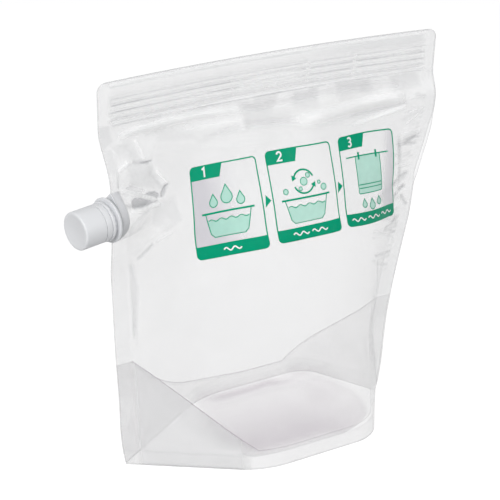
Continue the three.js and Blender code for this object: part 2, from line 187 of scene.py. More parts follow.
def middle(s, z):
    across = 2 * s / PANEL_WIDTH - 1
    bow = HEADER_BOW * smoothstep(z, zip_bottom - BOW_FADE, zip_bottom) * (1 - across * across)
    on_base = held(z) * (1 - smoothstep(s, SIDE_SEAL, SIDE_SEAL + BASE_FADE))
    bend = np.clip((PULL_STRAIGHT + PULL_BEND - s) / PULL_BEND, 0, 1)
    pull = np.maximum(PULL_STRAIGHT - s, 0) + PULL_BEND / 2 * bend * bend
    curl = CURL * curled(z) * smoothstep(s, PANEL_WIDTH - CURL_WIDTH, PANEL_WIDTH)
    return bow * (1 - on_base) - math.sin(SPOUT_YAW) * held(z) * pull - curl


def belly(s, z):
    height = np.clip(z / zip_bottom, 0, 1)
    reach = BELLY * (1 - height ** BELLY_POWER)
    soft = between(FOOT_SOFTNESS, CHEST_SOFTNESS, height)
    seal = between(FOOT_SEAL, SIDE_SEAL, smoothstep(z, 0, FOOT_OPEN))
    parted = SIDE_SEAL - seal
    left = (s - seal) / (parted + between(FOOT_LEFT_RAMP, CHEST_LEFT_RAMP, height))
    right = (PANEL_WIDTH - seal - s) / (parted + between(FOOT_RIGHT_RAMP, CHEST_RIGHT_RAMP, height))
    return reach * np.clip(soft_min(soft_min(left, right, soft), 1, soft), 0, 1)


def base_half_thickness(rise):
    share = np.clip(np.abs(rise) / base_half, 0, 1)
    return BASE_THICKNESS / 2 * np.cos(share * math.pi / 2)


def spout_swell(s, z):
    close = 1 - smoothstep(s, SIDE_SEAL, SIDE_SEAL + BASE_FADE)
    thick = base_half_thickness(z - spout_height)
    return np.where(thick > TINY, (thick + WELD_GAP / 2) * close, 0)


def packing(s, z):
    edge = np.minimum(s, PANEL_WIDTH - s)
    gusset = layer * (1 - smoothstep(z, fold_top, fold_top + SIDE_SEAL))
    in_zip = smoothstep(z, zip_bottom - BOTTOM_SEAL, zip_bottom - ZIP_MARGIN)
    in_zip = in_zip * (1 - smoothstep(z, zip_top + ZIP_MARGIN, PANEL_HEIGHT))
    return layer / 2 + gusset + (ZIP_STACK / 2 + WELD_GAP / 2) * in_zip * smoothstep(edge, 0, ZIP_INSET)


def stand_out(s, z):
    near = 1 - smoothstep(np.abs(z - spout_height), base_half, base_half + SIDE_SEAL)
    soft = np.maximum(BASE_BLEND * near * smoothstep(s, SIDE_SEAL, SIDE_SEAL * 2), TINY)
    return soft_max(belly(s, z), spout_swell(s, z), soft) + packing(s, z)


def walked_row(z):
    s = np.arange(0, PANEL_WIDTH + WALK / 2, WALK)
    turn = np.diff(middle(s, z)) / WALK
    out = np.diff(belly(s, z)) / WALK
    level = np.sqrt(np.maximum(1 - turn * turn - out * out, STEEPEST * STEEPEST))
    walked = np.concatenate([[0], np.cumsum(level * WALK)])
    return walked, -walked[-1] / 2 - SWAY * (1 - smoothstep(z, SWAY_LOW, SWAY_HIGH))


def section_rows():
    spout_start = walked_row(spout_height)[1]
    rows = []
    for z in np.arange(0, PANEL_HEIGHT + HEIGHT_STEP / 2, HEIGHT_STEP):
        walked, start = walked_row(z)
        rows.append(walked + between(start, spout_start, held(z)))
    return np.array(rows)


sections = section_rows()


def film_x(s, z):
    across = np.clip(s, 0, PANEL_WIDTH) / WALK
    i = np.clip(np.floor(across).astype(int), 0, sections.shape[1] - 2)
    up = np.clip(z, 0, PANEL_HEIGHT) / HEIGHT_STEP
    j = np.clip(np.floor(up).astype(int), 0, sections.shape[0] - 2)
    low = between(sections[j, i], sections[j, i + 1], across - i)
    high = between(sections[j + 1, i], sections[j + 1, i + 1], across - i)
    return between(low, high, up - j)


def trimmed(s, z):
    up = np.clip(z - (PANEL_HEIGHT - TOP_CORNER), 0, TOP_CORNER)
    foot = np.clip(1 - z / FOOT_CUT_HEIGHT, 0, 1)
    inset = TOP_CORNER - np.sqrt(TOP_CORNER ** 2 - up * up) + FOOT_CUT_WIDTH * foot * foot
    left = np.maximum(1 - s / SIDE_SEAL, 0)
    right = np.maximum(1 - (PANEL_WIDTH - s) / SIDE_SEAL, 0)
    return s + inset * (left - right)


def off_middle(s, z, out):
    turn = (middle(s + WALK, z) - middle(s - WALK, z)) / (2 * WALK)
    x = film_x(s, z) - out * turn + POUCH_SHIFT
    y = middle(s, z) + out * np.sqrt(1 - turn * turn)
    return np.stack([x, y, z + 0 * s], axis=-1)


# Folds pressed into the walls: points (s, z), half width, height outwards, painted shade and painted
# highlight along the crease
FRONT_FOLDS = [
    ([(150, 333), (104, 335), (68, 335), (33, 332), (12, 328)], 4.5, 2.2, 0, 1.2),
    ([(60, 329), (100, 328), (140, 328)], 12, 1.2, 0, 0.45),
    ([(170, 315), (205, 316), (240, 317), (302, 320)], 6.5, 3.0, 0, 1.4),
    ([(190, 308), (235, 310), (290, 313)], 5, -1.2, 0.25, 0),
    ([(232, 301), (262, 303), (303, 310)], 2.2, 1.4, 0, 0.9),
    ([(236, 305), (268, 307), (303, 314)], 2.5, -0.8, 0.3, 0),
    ([(30, 326), (33, 318), (35.5, 306)], 2.6, 1.0, 0, 0.5),
    ([(20, 321), (27, 312), (34, 305)], 2.6, -0.9, 0.28, 0),
    ([(31, 305), (37.5, 304), (43, 305)], 1.1, -0.9, 1.0, 0),
    ([(9.5, 301), (15, 305), (22, 308)], 2.0, 1.2, 0, 0.9),
    ([(9, 300), (7.5, 287)], 1.0, 0.3, 0.6, 0),
    ([(8.5, 287), (24, 280), (44, 270)], 1.7, 1.6, 0, 1.0),
    ([(47.5, 274), (51, 278), (54.5, 282)], 1.3, -1.0, 1.0, 0),
    ([(38, 298), (44, 288), (50, 278)], 3.6, -1.1, 0.4, 0),
    ([(44, 297), (50, 288), (55, 281)], 2.5, 1.0, 0, 0.5),
    ([(8, 272), (23, 268.5), (48, 266)], 1.8, 1.3, 0, 0.9),
    ([(14, 300), (28, 295), (40, 297)], 8, 1.0, 0.12, 0),
    ([(24, 215), (32, 223), (40, 231)], 1.6, -1.0, 0.55, 0),
    ([(40, 231), (48, 236), (57, 240)], 1.6, 0.9, 0, 0.6),
    ([(18, 222), (34, 238), (58, 250)], 6, 1.1, 0, 0.3),
    ([(20, 122), (20, 145), (21, 165), (22, 185), (20, 202), (18, 216)], 3.0, -0.7, 0.32, 0),
    ([(293, 290), (299, 270), (305, 252), (313, 226)], 2.6, -1.2, 0.6, 0),
    ([(297, 283), (309, 283), (320, 283)], 3.6, 1.4, 0, 1.0),
    ([(300, 277), (311, 277), (321, 277)], 1.6, -0.9, 0.5, 0),
    ([(316, 218), (320, 212), (325, 205)], 2.2, -0.9, 0.6, 0),
    ([(293, 196), (305, 197), (318, 199)], 2.0, 1.0, 0, 0.8),
    ([(290, 192), (303, 191), (317, 192)], 1.6, -0.9, 0.6, 0),
    ([(306, 240), (311, 222), (318, 206)], 1.5, 0.8, 0, 0.7),
    ([(282, 167), (293, 145), (306, 118)], 2.0, -0.5, 0.35, 0),
]
BACK_FOLDS = [
    ([(14, 328), (60, 333), (120, 330), (180, 326), (250, 331), (312, 326)], 6, 2.0, 0, 0.7),
    ([(18, 285), (30, 279), (44, 272)], 2.5, 1.5, 0, 0.8),
    ([(20, 280), (30, 274), (42, 268)], 3, -1.4, 0.6, 0),
    ([(20, 240), (36, 246), (52, 251)], 3, 1.2, 0, 0.5),
    ([(20, 262), (34, 260), (48, 260)], 3, -1.3, 0.6, 0),
    ([(26, 305), (38, 301), (48, 298)], 2, 1.0, 0.5, 0),
    ([(250, 300), (280, 305), (305, 312)], 3, 1.3, 0, 0.7),
    ([(282, 190), (298, 212), (312, 232)], 4, 1.2, 0.3, 0),
    ([(90, 300), (150, 308), (215, 300)], 7, 1.4, 0, 0.5),
    ([(19, 205), (20, 165), (20, 130)], 2.6, -0.6, 0.3, 0),
]
FRONT_FACETS = (  # flat places between the folds: corners (s, z), softness of the edge, painted shade and painted highlight
    ([(126, 339), (133, 338), (135, 314), (128, 315)], 4.5, 0, 0.4),
    ([(138, 336), (163, 327), (172, 322), (137, 324)], 4.5, 0.16, 0),
    ([(172, 338), (184, 338), (184, 326), (167, 327)], 4.5, 0, 0.3),
    ([(186, 340), (210, 340), (210, 324), (186, 323)], 4.5, 0.2, 0),
    ([(212, 340), (228, 340), (230, 323), (210, 323)], 4.5, 0, 0.3),
    ([(229, 340), (263, 340), (267, 322), (232, 324)], 4.5, 0.2, 0),
    ([(264, 340), (277, 340), (288, 324), (270, 324)], 4.5, 0, 0.32),
    ([(282, 340), (312, 340), (317, 326), (290, 325)], 4.5, 0.24, 0),
    ([(312, 340), (320, 340), (321, 328), (316, 334)], 4.5, 0, 0.35),
    ([(31, 326), (48, 330), (53, 322), (39, 306), (33, 308)], 4.5, 0, 0.22),
    ([(10, 322), (28, 324), (34, 306), (20, 308), (12, 316)], 4.5, 0.16, 0),
    ([(53, 316), (178, 308), (176, 302), (108, 304), (54, 310)], 4.5, 0, 0.12),
    ([(0, 345), (8, 345), (12, 326), (0, 320)], 4.0, 0.2, 0),
    ([(26.5, 278), (36.5, 279), (43.5, 277.5), (46.5, 274), (45.5, 271.5), (37, 273.5)], 1.6, 1.0, 0),
    ([(15, 277.5), (19, 278.5), (28, 277), (45, 269), (35, 267), (16.5, 271), (13.5, 273)], 1.6, 0.95, 0),
    ([(47, 328), (84, 328), (88, 314), (54, 318)], 4.5, 0.12, 0),
    ([(136, 328), (182, 324), (179, 314), (134, 320)], 4.5, 0.12, 0),
    ([(18, 307), (40, 304), (49, 286), (43, 280), (20, 288)], 3.0, 0.24, 0),
    ([(47, 272), (53, 283), (56, 282), (50, 271)], 1.2, 0.9, 0),
    ([(40, 267), (60, 271), (66, 250), (52, 240), (38, 250)], 5.0, 0.2, 0),
    ([(0, 322), (9, 320), (10, 300), (0, 302)], 4.0, 0.14, 0),
)
BACK_FACETS = (
    ([(40, 340), (62, 340), (66, 324), (44, 322)], 4.5, 0.2, 0),
    ([(92, 340), (112, 340), (116, 322), (98, 324)], 4.5, 0, 0.4),
    ([(150, 340), (176, 340), (172, 320), (154, 322)], 4.5, 0.2, 0),
    ([(205, 340), (222, 340), (230, 324), (208, 322)], 4.5, 0, 0.4),
    ([(252, 340), (280, 340), (276, 322), (258, 324)], 4.5, 0.2, 0),
)
FACET_TILT = 1.5  # height in millimetres for a full mark
FOLD_SEEDS = {-1: 11, 1: 23}  # for the small folds of the front and of the back
CRINKLES = 22
CRINKLE_ROOT = PANEL_WIDTH - SIDE_SEAL + 6
CRINKLE_HEIGHTS = (140, 322)
CRINKLE_LENGTHS = (8, 24)
DENTS = 7
DENT_LENGTHS = (55, 130)
DENT_HEIGHT = 0.35
LONG_FOLD = 60.0  # a longer fold than this starts more gently
FOLD_LEAD = 0.12  # shares of its length over which a fold rises and ends
LONG_FOLD_LEAD = 0.3
FOLD_END = 0.1
FOLD_LINE = 0.75  # width of a fold's painted shade or highlight, as a share of the fold's
RELIEF_FOOT = 118.0  # the walls are plain below this, where the gusset lies on them
RELIEF_RISE = 30.0


def crinkles(rng):
    """Short folds that run in from the right seal, with painted shade or a painted highlight along each."""
    s = CRINKLE_ROOT
    folds = []
    for k in range(CRINKLES):
        z = between(*CRINKLE_HEIGHTS, (k + rng.uniform(0.1, 0.9)) / CRINKLES)
        length = rng.uniform(*CRINKLE_LENGTHS)
        end = (s - length, z - length * rng.uniform(-0.3, 0.8))
        halfway = ((s + end[0]) / 2, (z + end[1]) / 2 + rng.uniform(-2, 2))
        out = rng.choice([-1, 1])
        height = rng.uniform(0.5, 1.1) * out
        # strength of the painted shade along a fold that dips in, or of the painted highlight along one that
        # stands out
        tone = rng.uniform(0.2, 0.7)
        width = rng.uniform(1.2, 3)
        folds.append(([(s, z), halfway, end], width, height, tone * (out < 0), tone * (out > 0)))
    return folds


def beside_line(s, z, points):
    nearest = np.full(s.shape, np.inf)
    share = np.zeros(s.shape)
    steps = [math.dist(a, b) for a, b in zip(points, points[1:])]
    walked = 0.0
    for a, b, step in zip(points, points[1:], steps):
        ds = (b[0] - a[0]) / step
        dz = (b[1] - a[1]) / step
        along = np.clip((s - a[0]) * ds + (z - a[1]) * dz, 0, step)
        distance = np.hypot(s - a[0] - along * ds, z - a[1] - along * dz)
        share = np.where(distance < nearest, (walked + along) / sum(steps), share)
        nearest = np.minimum(distance, nearest)
        walked += step
    return nearest, share


def soft_dents(s, z, rng):
    total = 0 * s
    for _ in range(DENTS):
        turn = rng.uniform(0, math.pi)
        waves = 2 * math.pi / rng.uniform(*DENT_LENGTHS)
        phase = rng.uniform(0, 2 * math.pi)
        total = total + np.sin((s * math.cos(turn) + z * math.sin(turn)) * waves + phase)
    return DENT_HEIGHT * total


def inside(s, z, corners, soft):
    """1 within a convex outline, falling softly to 0 at its edge."""
    deep = np.full(s.shape, np.inf)
    following = corners[1:] + corners[:1]
    area = sum(a[0] * b[1] - b[0] * a[1] for a, b in zip(corners, following))
    for a, b in zip(corners, following):
        ds = b[0] - a[0]
        dz = b[1] - a[1]
        beyond = (ds * (z - a[1]) - dz * (s - a[0])) / math.hypot(ds, dz)
        deep = np.minimum(deep, math.copysign(1, area) * beyond)
    return smoothstep(deep, -soft / 2, soft / 2)


def facet_relief(s, z, side):
    """Flat places between the folds: height, painted shade and painted highlight."""
    relief = 0 * s
    shade = 0 * s
    painted_highlight = 0 * s
    for corners, soft, dark, bright in FRONT_FACETS if side < 0 else BACK_FACETS:
        within = inside(s, z, corners, soft)
        relief = relief + FACET_TILT * (bright - dark) * within
        shade = np.maximum(shade, dark * within)
        painted_highlight = np.maximum(painted_highlight, bright * within)
    return relief, shade, painted_highlight


def wall_relief(s, z, side):
    """How far a wall's folds stand out, and the painted shade and painted highlight of the film there."""
    rng = np.random.default_rng(FOLD_SEEDS[side])
    folds = (FRONT_FOLDS if side < 0 else BACK_FOLDS) + crinkles(rng)
    edge = np.minimum(s, PANEL_WIDTH - s)
    free = smoothstep(edge, SIDE_SEAL * 0.4, SIDE_SEAL * 1.2)
    free = free * smoothstep(z, RELIEF_FOOT, RELIEF_FOOT + RELIEF_RISE)
    free = free * (1 - smoothstep(z, zip_bottom - 3, zip_bottom - ZIP_MARGIN))
    tilted, shade, painted_highlight = facet_relief(s, z, side)
    relief = soft_dents(s, z, rng) * smoothstep(edge, SIDE_SEAL, SIDE_SEAL * 4) + tilted
    for points, width, height, dark, bright in folds:
        distance, share = beside_line(s, z, points)
        lead = LONG_FOLD_LEAD if math.dist(points[0], points[-1]) > LONG_FOLD else FOLD_LEAD
        ends = smoothstep(share, 0, lead) * smoothstep(1 - share, 0, FOLD_END)
        relief = relief + height * ends * bell(distance, width)
        line = ends * bell(distance, width * FOLD_LINE)
        shade = np.maximum(shade, line * dark)
        painted_highlight = np.maximum(painted_highlight, line * bright)
    below_zip = 1 - smoothstep(z, zip_bottom - 1, zip_bottom)
    return relief * free, shade * below_zip, painted_highlight * below_zip


HEADER_LINES = (  # height, half width, ridge, painted shade, painted highlight
    (375.4, 1.0, 0.1, 0, 1.6), (373.2, 0.9, -0.05, 0.4, 0), (363.4, 0.9, -0.05, 0.4, 0),
    (360.8, 1.3, 0.15, 0, 1.0), (357.9, 0.9, -0.1, 0.8, 0), (355.2, 1.4, 0.1, 0, 1.0),
    (352.0, 0.9, 0.1, 0.65, 0), (349.4, 1.4, 0.1, 0, 1.0), (346.6, 0.9, -0.05, 0.5, 0),
    (342.5, 1.0, 0.1, 0, 2.6), (340.6, 0.8, -0.05, 0.7, 0),
)
LINE_STRENGTH = 0.75  # of the zip's lines on the whole; it comes and goes along them
LINE_WAVES = (17, 41)
PINCHES = ((129, 0.6), (202, 0.9), (249, 0.8), (168, 0.4), (290, 0.5))  # marks left by closing the zip
PINCH_LEAN = 0.05
PINCH_MARKS = (  # how much, how far aside and the half width of its dent, its painted highlight and its painted shade
    (0.2, 0, 3.5), (0.6, 2.4, 2.4), (0.25, -2.4, 2.0),
)
HEADER_HIGHLIGHTS = (  # place, height, half width, half height, painted highlight
    (165, 354, 42, 10, 0.5), (90, 352, 30, 7, 0.3), (300, 361, 18, 5, 0.4),
)
LIP_SHADE = (0.08, 0.26)  # painted shade of the plain film above the zip, at the spout's end and at the far end


def header_relief(s, z):
    """The zip's lines as they show on the walls: height, painted shade and painted highlight."""
    run = smoothstep(np.minimum(s, PANEL_WIDTH - s), ZIP_INSET - 2, ZIP_INSET + 3)
    relief = 0 * s
    painted_highlight = 0 * s
    lip = smoothstep(z, zip_top - 2, zip_top + 2) * run
    shade = lip * between(*LIP_SHADE, smoothstep(s, PANEL_WIDTH * 0.5, PANEL_WIDTH * 0.8))
    short, long = LINE_WAVES
    patch = LINE_STRENGTH + (1 - LINE_STRENGTH) * np.sin(s / short + 0.8) * np.sin(s / long)
    for height, half, ridge, dark, bright in HEADER_LINES:
        line = bell(z - height, half) * run
        relief = relief + ridge * line
        shade = np.maximum(shade * (1 - np.minimum(bright, 1) * line), dark * line * patch)
        painted_highlight = np.maximum(painted_highlight, bright * line * (2 * LINE_STRENGTH - patch))
    in_zip = smoothstep(z, zip_bottom, zip_bottom + 3) * (1 - smoothstep(z, zip_top - 4, zip_top))
    for place, depth in PINCHES:
        lean = s - place - (z - zip_bottom) * PINCH_LEAN
        lines = (most * depth * bell(lean + aside, half) * in_zip for most, aside, half in PINCH_MARKS)
        dent, glint, dim = lines
        relief = relief - dent
        painted_highlight = np.maximum(painted_highlight, glint)
        shade = np.maximum(shade, dim)
    for place, height, half, tall, bright in HEADER_HIGHLIGHTS:
        spot = np.exp(-((s - place) / half) ** 2 - ((z - height) / tall) ** 2)
        painted_highlight = np.maximum(painted_highlight, bright * spot * in_zip)
    return relief, shade, painted_highlight


def wall_point(s, z, side, lift):
    t = trimmed(s, z)
    relief = wall_relief(t, z, side)[0] + header_relief(t, z)[0]
    return off_middle(t, z, side * (stand_out(t, z) + relief + lift))


# Mesh helpers
FILM_MAP = 100.0  # millimetres of film in one unit of its map
MERGE_DISTANCE = 1e-6
SHORTEST_EDGE = 1e-7


def new_object(name, data):
    made = bpy.data.objects.new(name, data)
    bpy.context.scene.collection.objects.link(made)
    return made


def show(name, mesh, finish):
    piece = new_object(name, mesh)
    mesh.materials.clear()
    mesh.materials.append(finish)
    return piece


def plain_mesh(name, points, faces):
    mesh = bpy.data.meshes.new(name)
    mesh.from_pydata(np.asarray(points) * MM, [], faces)
    return mesh


def all_smooth(mesh):
    mesh.polygons.foreach_set("use_smooth", [True] * len(mesh.polygons))
    mesh.update()
    return mesh


def closed_sheet(name, points, flip, film_places, marks):
    """Film of its full thickness about these points, with its map and its marks."""
    rows, columns = points.shape[:2]
    normals = np.cross(np.gradient(points, axis=1), np.gradient(points, axis=0))
    normals[0, :, 2] = 0
    normals[-1, :, 2] = 0
    normals = normals / np.linalg.norm(normals, axis=-1, keepdims=True)
    faces_out = points + normals * FILM / 2
    faces_in = points - normals * FILM / 2
    count = rows * columns
    j, i = np.meshgrid(np.arange(rows - 1), np.arange(columns - 1), indexing="ij")
    a = (j * columns + i).ravel()
    quads = np.stack([a, a + 1, a + columns + 1, a + columns], axis=1)
    inner = quads[:, ::-1] + count
    low = np.arange(columns - 1)
    high = low + (rows - 1) * columns
    left = np.arange(rows - 1) * columns
    right = left + columns - 1
    rims = [
        np.stack([low, low + count, low + count + 1, low + 1], axis=1),
        np.stack([high, high + 1, high + count + 1, high + count], axis=1),
        np.stack([left, left + columns, left + columns + count, left + count], axis=1),
        np.stack([right, right + count, right + columns + count, right + columns], axis=1),
    ]
    faces = np.concatenate([quads, inner, *rims])
    if flip:
        faces = faces[:, ::-1]
    corners = np.concatenate([faces_out.reshape(-1, 3), faces_in.reshape(-1, 3)])
    mesh = all_smooth(plain_mesh(name, corners, faces.tolist()))
    places = np.tile(film_places.reshape(-1, 2), (2, 1)) / FILM_MAP
    layer_uv = mesh.uv_layers.new(name="film")
    loops = np.zeros(len(mesh.loops), dtype=np.int32)
    mesh.loops.foreach_get("vertex_index", loops)
    layer_uv.data.foreach_set("uv", places[loops].ravel())
    for key, values in marks.items():
        attribute = mesh.attributes.new(key, "FLOAT", "POINT")
        attribute.data.foreach_set("value", np.tile(values.ravel(), 2))
    return mesh


def closed_grid(rows, columns):
    """Faces of a grid of points that closes on itself both ways."""
    faces = []
    for j in range(rows):
        here = j * columns
        there = (j + 1) % rows * columns
        for i in range(columns):
            following = (i + 1) % columns
            faces.append([here + i, here + following, there + following, there + i])
    return faces


def turned(outline):
    """Points and faces of an outline (radius, place) turned about the local Z axis and closed on itself."""
    turns = np.linspace(0, 2 * math.pi, ROUND_STEPS, endpoint=False)
    points = [(r * math.cos(t), r * math.sin(t), w) for t in turns for r, w in outline]
    return points, [[a, d, c, b] for a, b, c, d in closed_grid(ROUND_STEPS, len(outline))]


def merged(mesh):
    work = bmesh.new()
    work.from_mesh(mesh)
    bmesh.ops.remove_doubles(work, verts=work.verts, dist=MERGE_DISTANCE)
    bmesh.ops.dissolve_degenerate(work, edges=work.edges, dist=SHORTEST_EDGE)
    bmesh.ops.recalc_face_normals(work, faces=work.faces)
    work.to_mesh(mesh)
    work.free()
    return mesh


def sharp_edges(mesh, degrees):
    mesh.set_sharp_from_angle(angle=math.radians(degrees))
    return mesh


def stacked(parts):
    """Points and faces of several parts, in one list each."""
    points = []
    faces = []
    for part_points, part_faces in parts:
        start = len(points)
        points.extend(part_points)
        faces.extend([[start + i for i in face] for face in part_faces])
    return points, faces


def joined(name, parts):
    return merged(all_smooth(plain_mesh(name, *stacked(parts))))


# Materials
MARK_COVER = {"shade": 0.28, "painted_highlight": 0.26, "haze_and_painted_light": 0.4}  # what a full mark hides of what is behind the film: painted shade, painted highlight, haze with painted light
CLOUD_COVER = 0.03
SHADE_TONE = 1.6  # how fast a mark takes the film to its painted shade colour or its painted highlight colour
HIGHLIGHT_TONE = 2.5
SLANT_POWER = 4.0
FILM_ROUGHNESS = (0.14, 0.28)
WRINKLE_DEPTH = 0.0012
GRAIN_DEPTH = 0.0003


def plug(tree, node, links):
    """Each input gets a link where its source is a socket, or else the value."""
    for socket, source in links.items():
        if isinstance(source, bpy.types.NodeSocket):
            tree.links.new(source, node.inputs[socket])
        else:
            node.inputs[socket].default_value = source


def add(tree, kind, links=(), **settings):
    made = tree.nodes.new(kind)
    for key, value in settings.items():
        setattr(made, key, value)
    plug(tree, made, dict(links))
    return made


def math_node(tree, operation, a, b, clamp=False):
    return add(tree, "ShaderNodeMath", {0: a, 1: b}, operation=operation, use_clamp=clamp).outputs[0]


def noise(tree, place, scale, detail, distortion=0.0):
    inputs = {"Vector": place, "Scale": scale, "Detail": detail, "Distortion": distortion}
    return add(tree, "ShaderNodeTexNoise", inputs).outputs["Fac"]


def ranged(tree, value, low, high):
    return add(tree, "ShaderNodeMapRange", {"Value": value, "To Min": low, "To Max": high}).outputs["Result"]


def mixed(tree, share, a, b):
    """The colour between a and b, each of them a colour or a socket."""
    a, b = (end if isinstance(end, bpy.types.NodeSocket) else (*end, 1) for end in (a, b))
    return add(tree, "ShaderNodeMix", {"Factor": share, "A": a, "B": b}, data_type="RGBA").outputs["Result"]


def bumpy(tree, height, strength, distance):
    inputs = {"Height": height, "Strength": strength, "Distance": distance}
    return add(tree, "ShaderNodeBump", inputs).outputs["Normal"]


def mark(tree, key):
    return add(tree, "ShaderNodeAttribute", attribute_name=key).outputs["Fac"]


def object_place(tree):
    return add(tree, "ShaderNodeTexCoord").outputs["Object"]


def new_group(name, inputs, outputs):
    tree = bpy.data.node_groups.new(name, "ShaderNodeTree")
    for key, kind, value in inputs:
        socket = tree.interface.new_socket(name=key, in_out="INPUT", socket_type=kind)
        if value is not None:
            socket.default_value = value
    for key, kind in outputs:
        tree.interface.new_socket(name=key, in_out="OUTPUT", socket_type=kind)
    return tree, add(tree, "NodeGroupInput"), add(tree, "NodeGroupOutput")


def film_surface_group():
    """Clouding and fine wrinkles that walls, gusset and zip tapes share."""
    tree, given, result = new_group(
        "film_surface",
        [("Vector", "NodeSocketVector", None), ("Cloud Scale", "NodeSocketFloat", 14.0),
         ("Wrinkle Scale", "NodeSocketFloat", 60.0)],
        [("Cloud", "NodeSocketFloat"), ("Height", "NodeSocketFloat")],
    )
    place = given.outputs["Vector"]
    plug(tree, result, {
        "Cloud": noise(tree, place, given.outputs["Cloud Scale"], 3.0, 1.2),
        "Height": noise(tree, place, given.outputs["Wrinkle Scale"], 2.0, 2.0),
    })
    return tree


def moulding_group():
    """Faint flow clouding and a fine spark-eroded grain on the moulded pieces."""
    tree, given, result = new_group(
        "moulded_surface",
        [("Vector", "NodeSocketVector", None), ("Grain Scale", "NodeSocketFloat", 1800.0)],
        [("Flow", "NodeSocketFloat"), ("Height", "NodeSocketFloat")],
    )
    place = given.outputs["Vector"]
    plug(tree, result, {
        "Flow": noise(tree, place, 55.0, 3.0, 1.5),
        "Height": noise(tree, place, given.outputs["Grain Scale"], 2.0),
    })
    return tree


film_surface = film_surface_group()
moulded_surface = moulding_group()


def new_material(name):
    material = bpy.data.materials.new(name)
    material.use_nodes = True
    tree = material.node_tree
    tree.nodes.clear()
    shader = add(tree, "ShaderNodeBsdfPrincipled")
    add(tree, "ShaderNodeOutputMaterial", {0: shader.outputs[0]})
    return material, tree, shader


def clear_film(name, clear, graze, colour, dark, bright, wrinkle_scale=45.0, bump=0.14):
    """Clear film: how much of its own colour it shows straight on, and how much more at a slant."""
    material, tree, shader = new_material(name)
    inputs = {"Vector": object_place(tree), "Wrinkle Scale": wrinkle_scale}
    surface = add(tree, "ShaderNodeGroup", inputs, node_tree=film_surface)
    cloud = surface.outputs["Cloud"]
    bumped = bumpy(tree, surface.outputs["Height"], bump, WRINKLE_DEPTH)
    slant = add(tree, "ShaderNodeLayerWeight", {"Blend": 0.5, "Normal": bumped}).outputs["Facing"]
    slant = math_node(tree, "POWER", slant, SLANT_POWER)
    alpha = math_node(tree, "MULTIPLY_ADD", slant, graze)
    alpha.node.inputs[2].default_value = clear
    shade, painted_highlight, haze_and_painted_light = (mark(tree, key) for key in MARK_COVER)
    for mask, share in zip((shade, painted_highlight, haze_and_painted_light, cloud), (*MARK_COVER.values(), CLOUD_COVER)):
        more = math_node(tree, "MULTIPLY", mask, share)
        alpha = math_node(tree, "ADD", alpha, more, clamp=True)
    # Painted light: the marks mix the film's colour towards dark for painted shade, and towards bright for
    # painted highlights and the haze's painted light
    tone = mixed(tree, math_node(tree, "MULTIPLY", shade, SHADE_TONE, clamp=True), colour, dark)
    tone = mixed(tree, math_node(tree, "MULTIPLY", painted_highlight, HIGHLIGHT_TONE, clamp=True), tone, bright)
    plug(tree, shader, {
        "Base Color": mixed(tree, haze_and_painted_light, tone, bright),
        "Roughness": ranged(tree, cloud, *FILM_ROUGHNESS),
        "Alpha": alpha,
        "Normal": bumped,
    })
    return material


def moulded_plastic(name, dark, pale, rough_low, rough_high, grain=0.04):
    material, tree, shader = new_material(name)
    surface = add(tree, "ShaderNodeGroup", {"Vector": object_place(tree)}, node_tree=moulded_surface)
    flow = surface.outputs["Flow"]
    plug(tree, shader, {
        "Base Color": mixed(tree, flow, dark, pale),
        "Roughness": ranged(tree, flow, rough_low, rough_high),
        "Normal": bumpy(tree, surface.outputs["Height"], grain, GRAIN_DEPTH),
    })
    return material


# Film colours: dark for painted shade, bright for painted highlights and the haze's painted light; the
# gusset's painted shade is pinkish
FILM_DARK = (0.40, 0.41, 0.43)
GUSSET_DARK = (0.45, 0.32, 0.43)
FILM_BRIGHT = (0.97, 0.975, 0.98)
wall_film = clear_film("wall_film", 0.10, 0.3, (0.725, 0.725, 0.74), FILM_DARK, FILM_BRIGHT)
gusset_film = clear_film("gusset_film", 0.01, 0.05, (0.70, 0.67, 0.69), GUSSET_DARK, FILM_BRIGHT)
zip_plastic = clear_film("zip_plastic", 0.006, 0.04, (0.74, 0.745, 0.76), FILM_DARK, FILM_BRIGHT, 140.0, 0.15)
satin_moulding = moulded_plastic("satin_moulding", (0.735, 0.745, 0.765), (0.77, 0.78, 0.80), 0.34, 0.48)
foam_lining = moulded_plastic("foam_lining", (0.80, 0.80, 0.77), (0.86, 0.86, 0.83), 0.6, 0.8, 0.3)


def finish_piece(piece, body, slot, *nodes):
    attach(piece, body)
    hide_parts(*nodes)
    return piece


# The two walls: painted shade along their edges and darker lines along their welds, each with its half width,
# and haze, painted lighter, on the film below the zip
BACK_TONE = 0.5  # the back's lines are this much fainter
RIM_LINE = (0.22, 0.9)
TOP_LINE = (0.6, 0.8)
FOOT_WELD = (0.16, 1.2)
SIDE_WELD = 0.09
SIDE_WELD_RISE = (60, 100)  # heights
SIDE_WELD_END = (180, 230)
CHEST_HAZE = 0.1
CHEST = (220, 320)


def stepped(plan):
    """Places from 0 to the end, in steps that change along the way."""
    places = []
    for (start, step), (end, _) in zip(plan, plan[1:]):
        places.extend(np.linspace(start, end, round((end - start) / step), endpoint=False))
    return np.array(places + [plan[-1][0]])


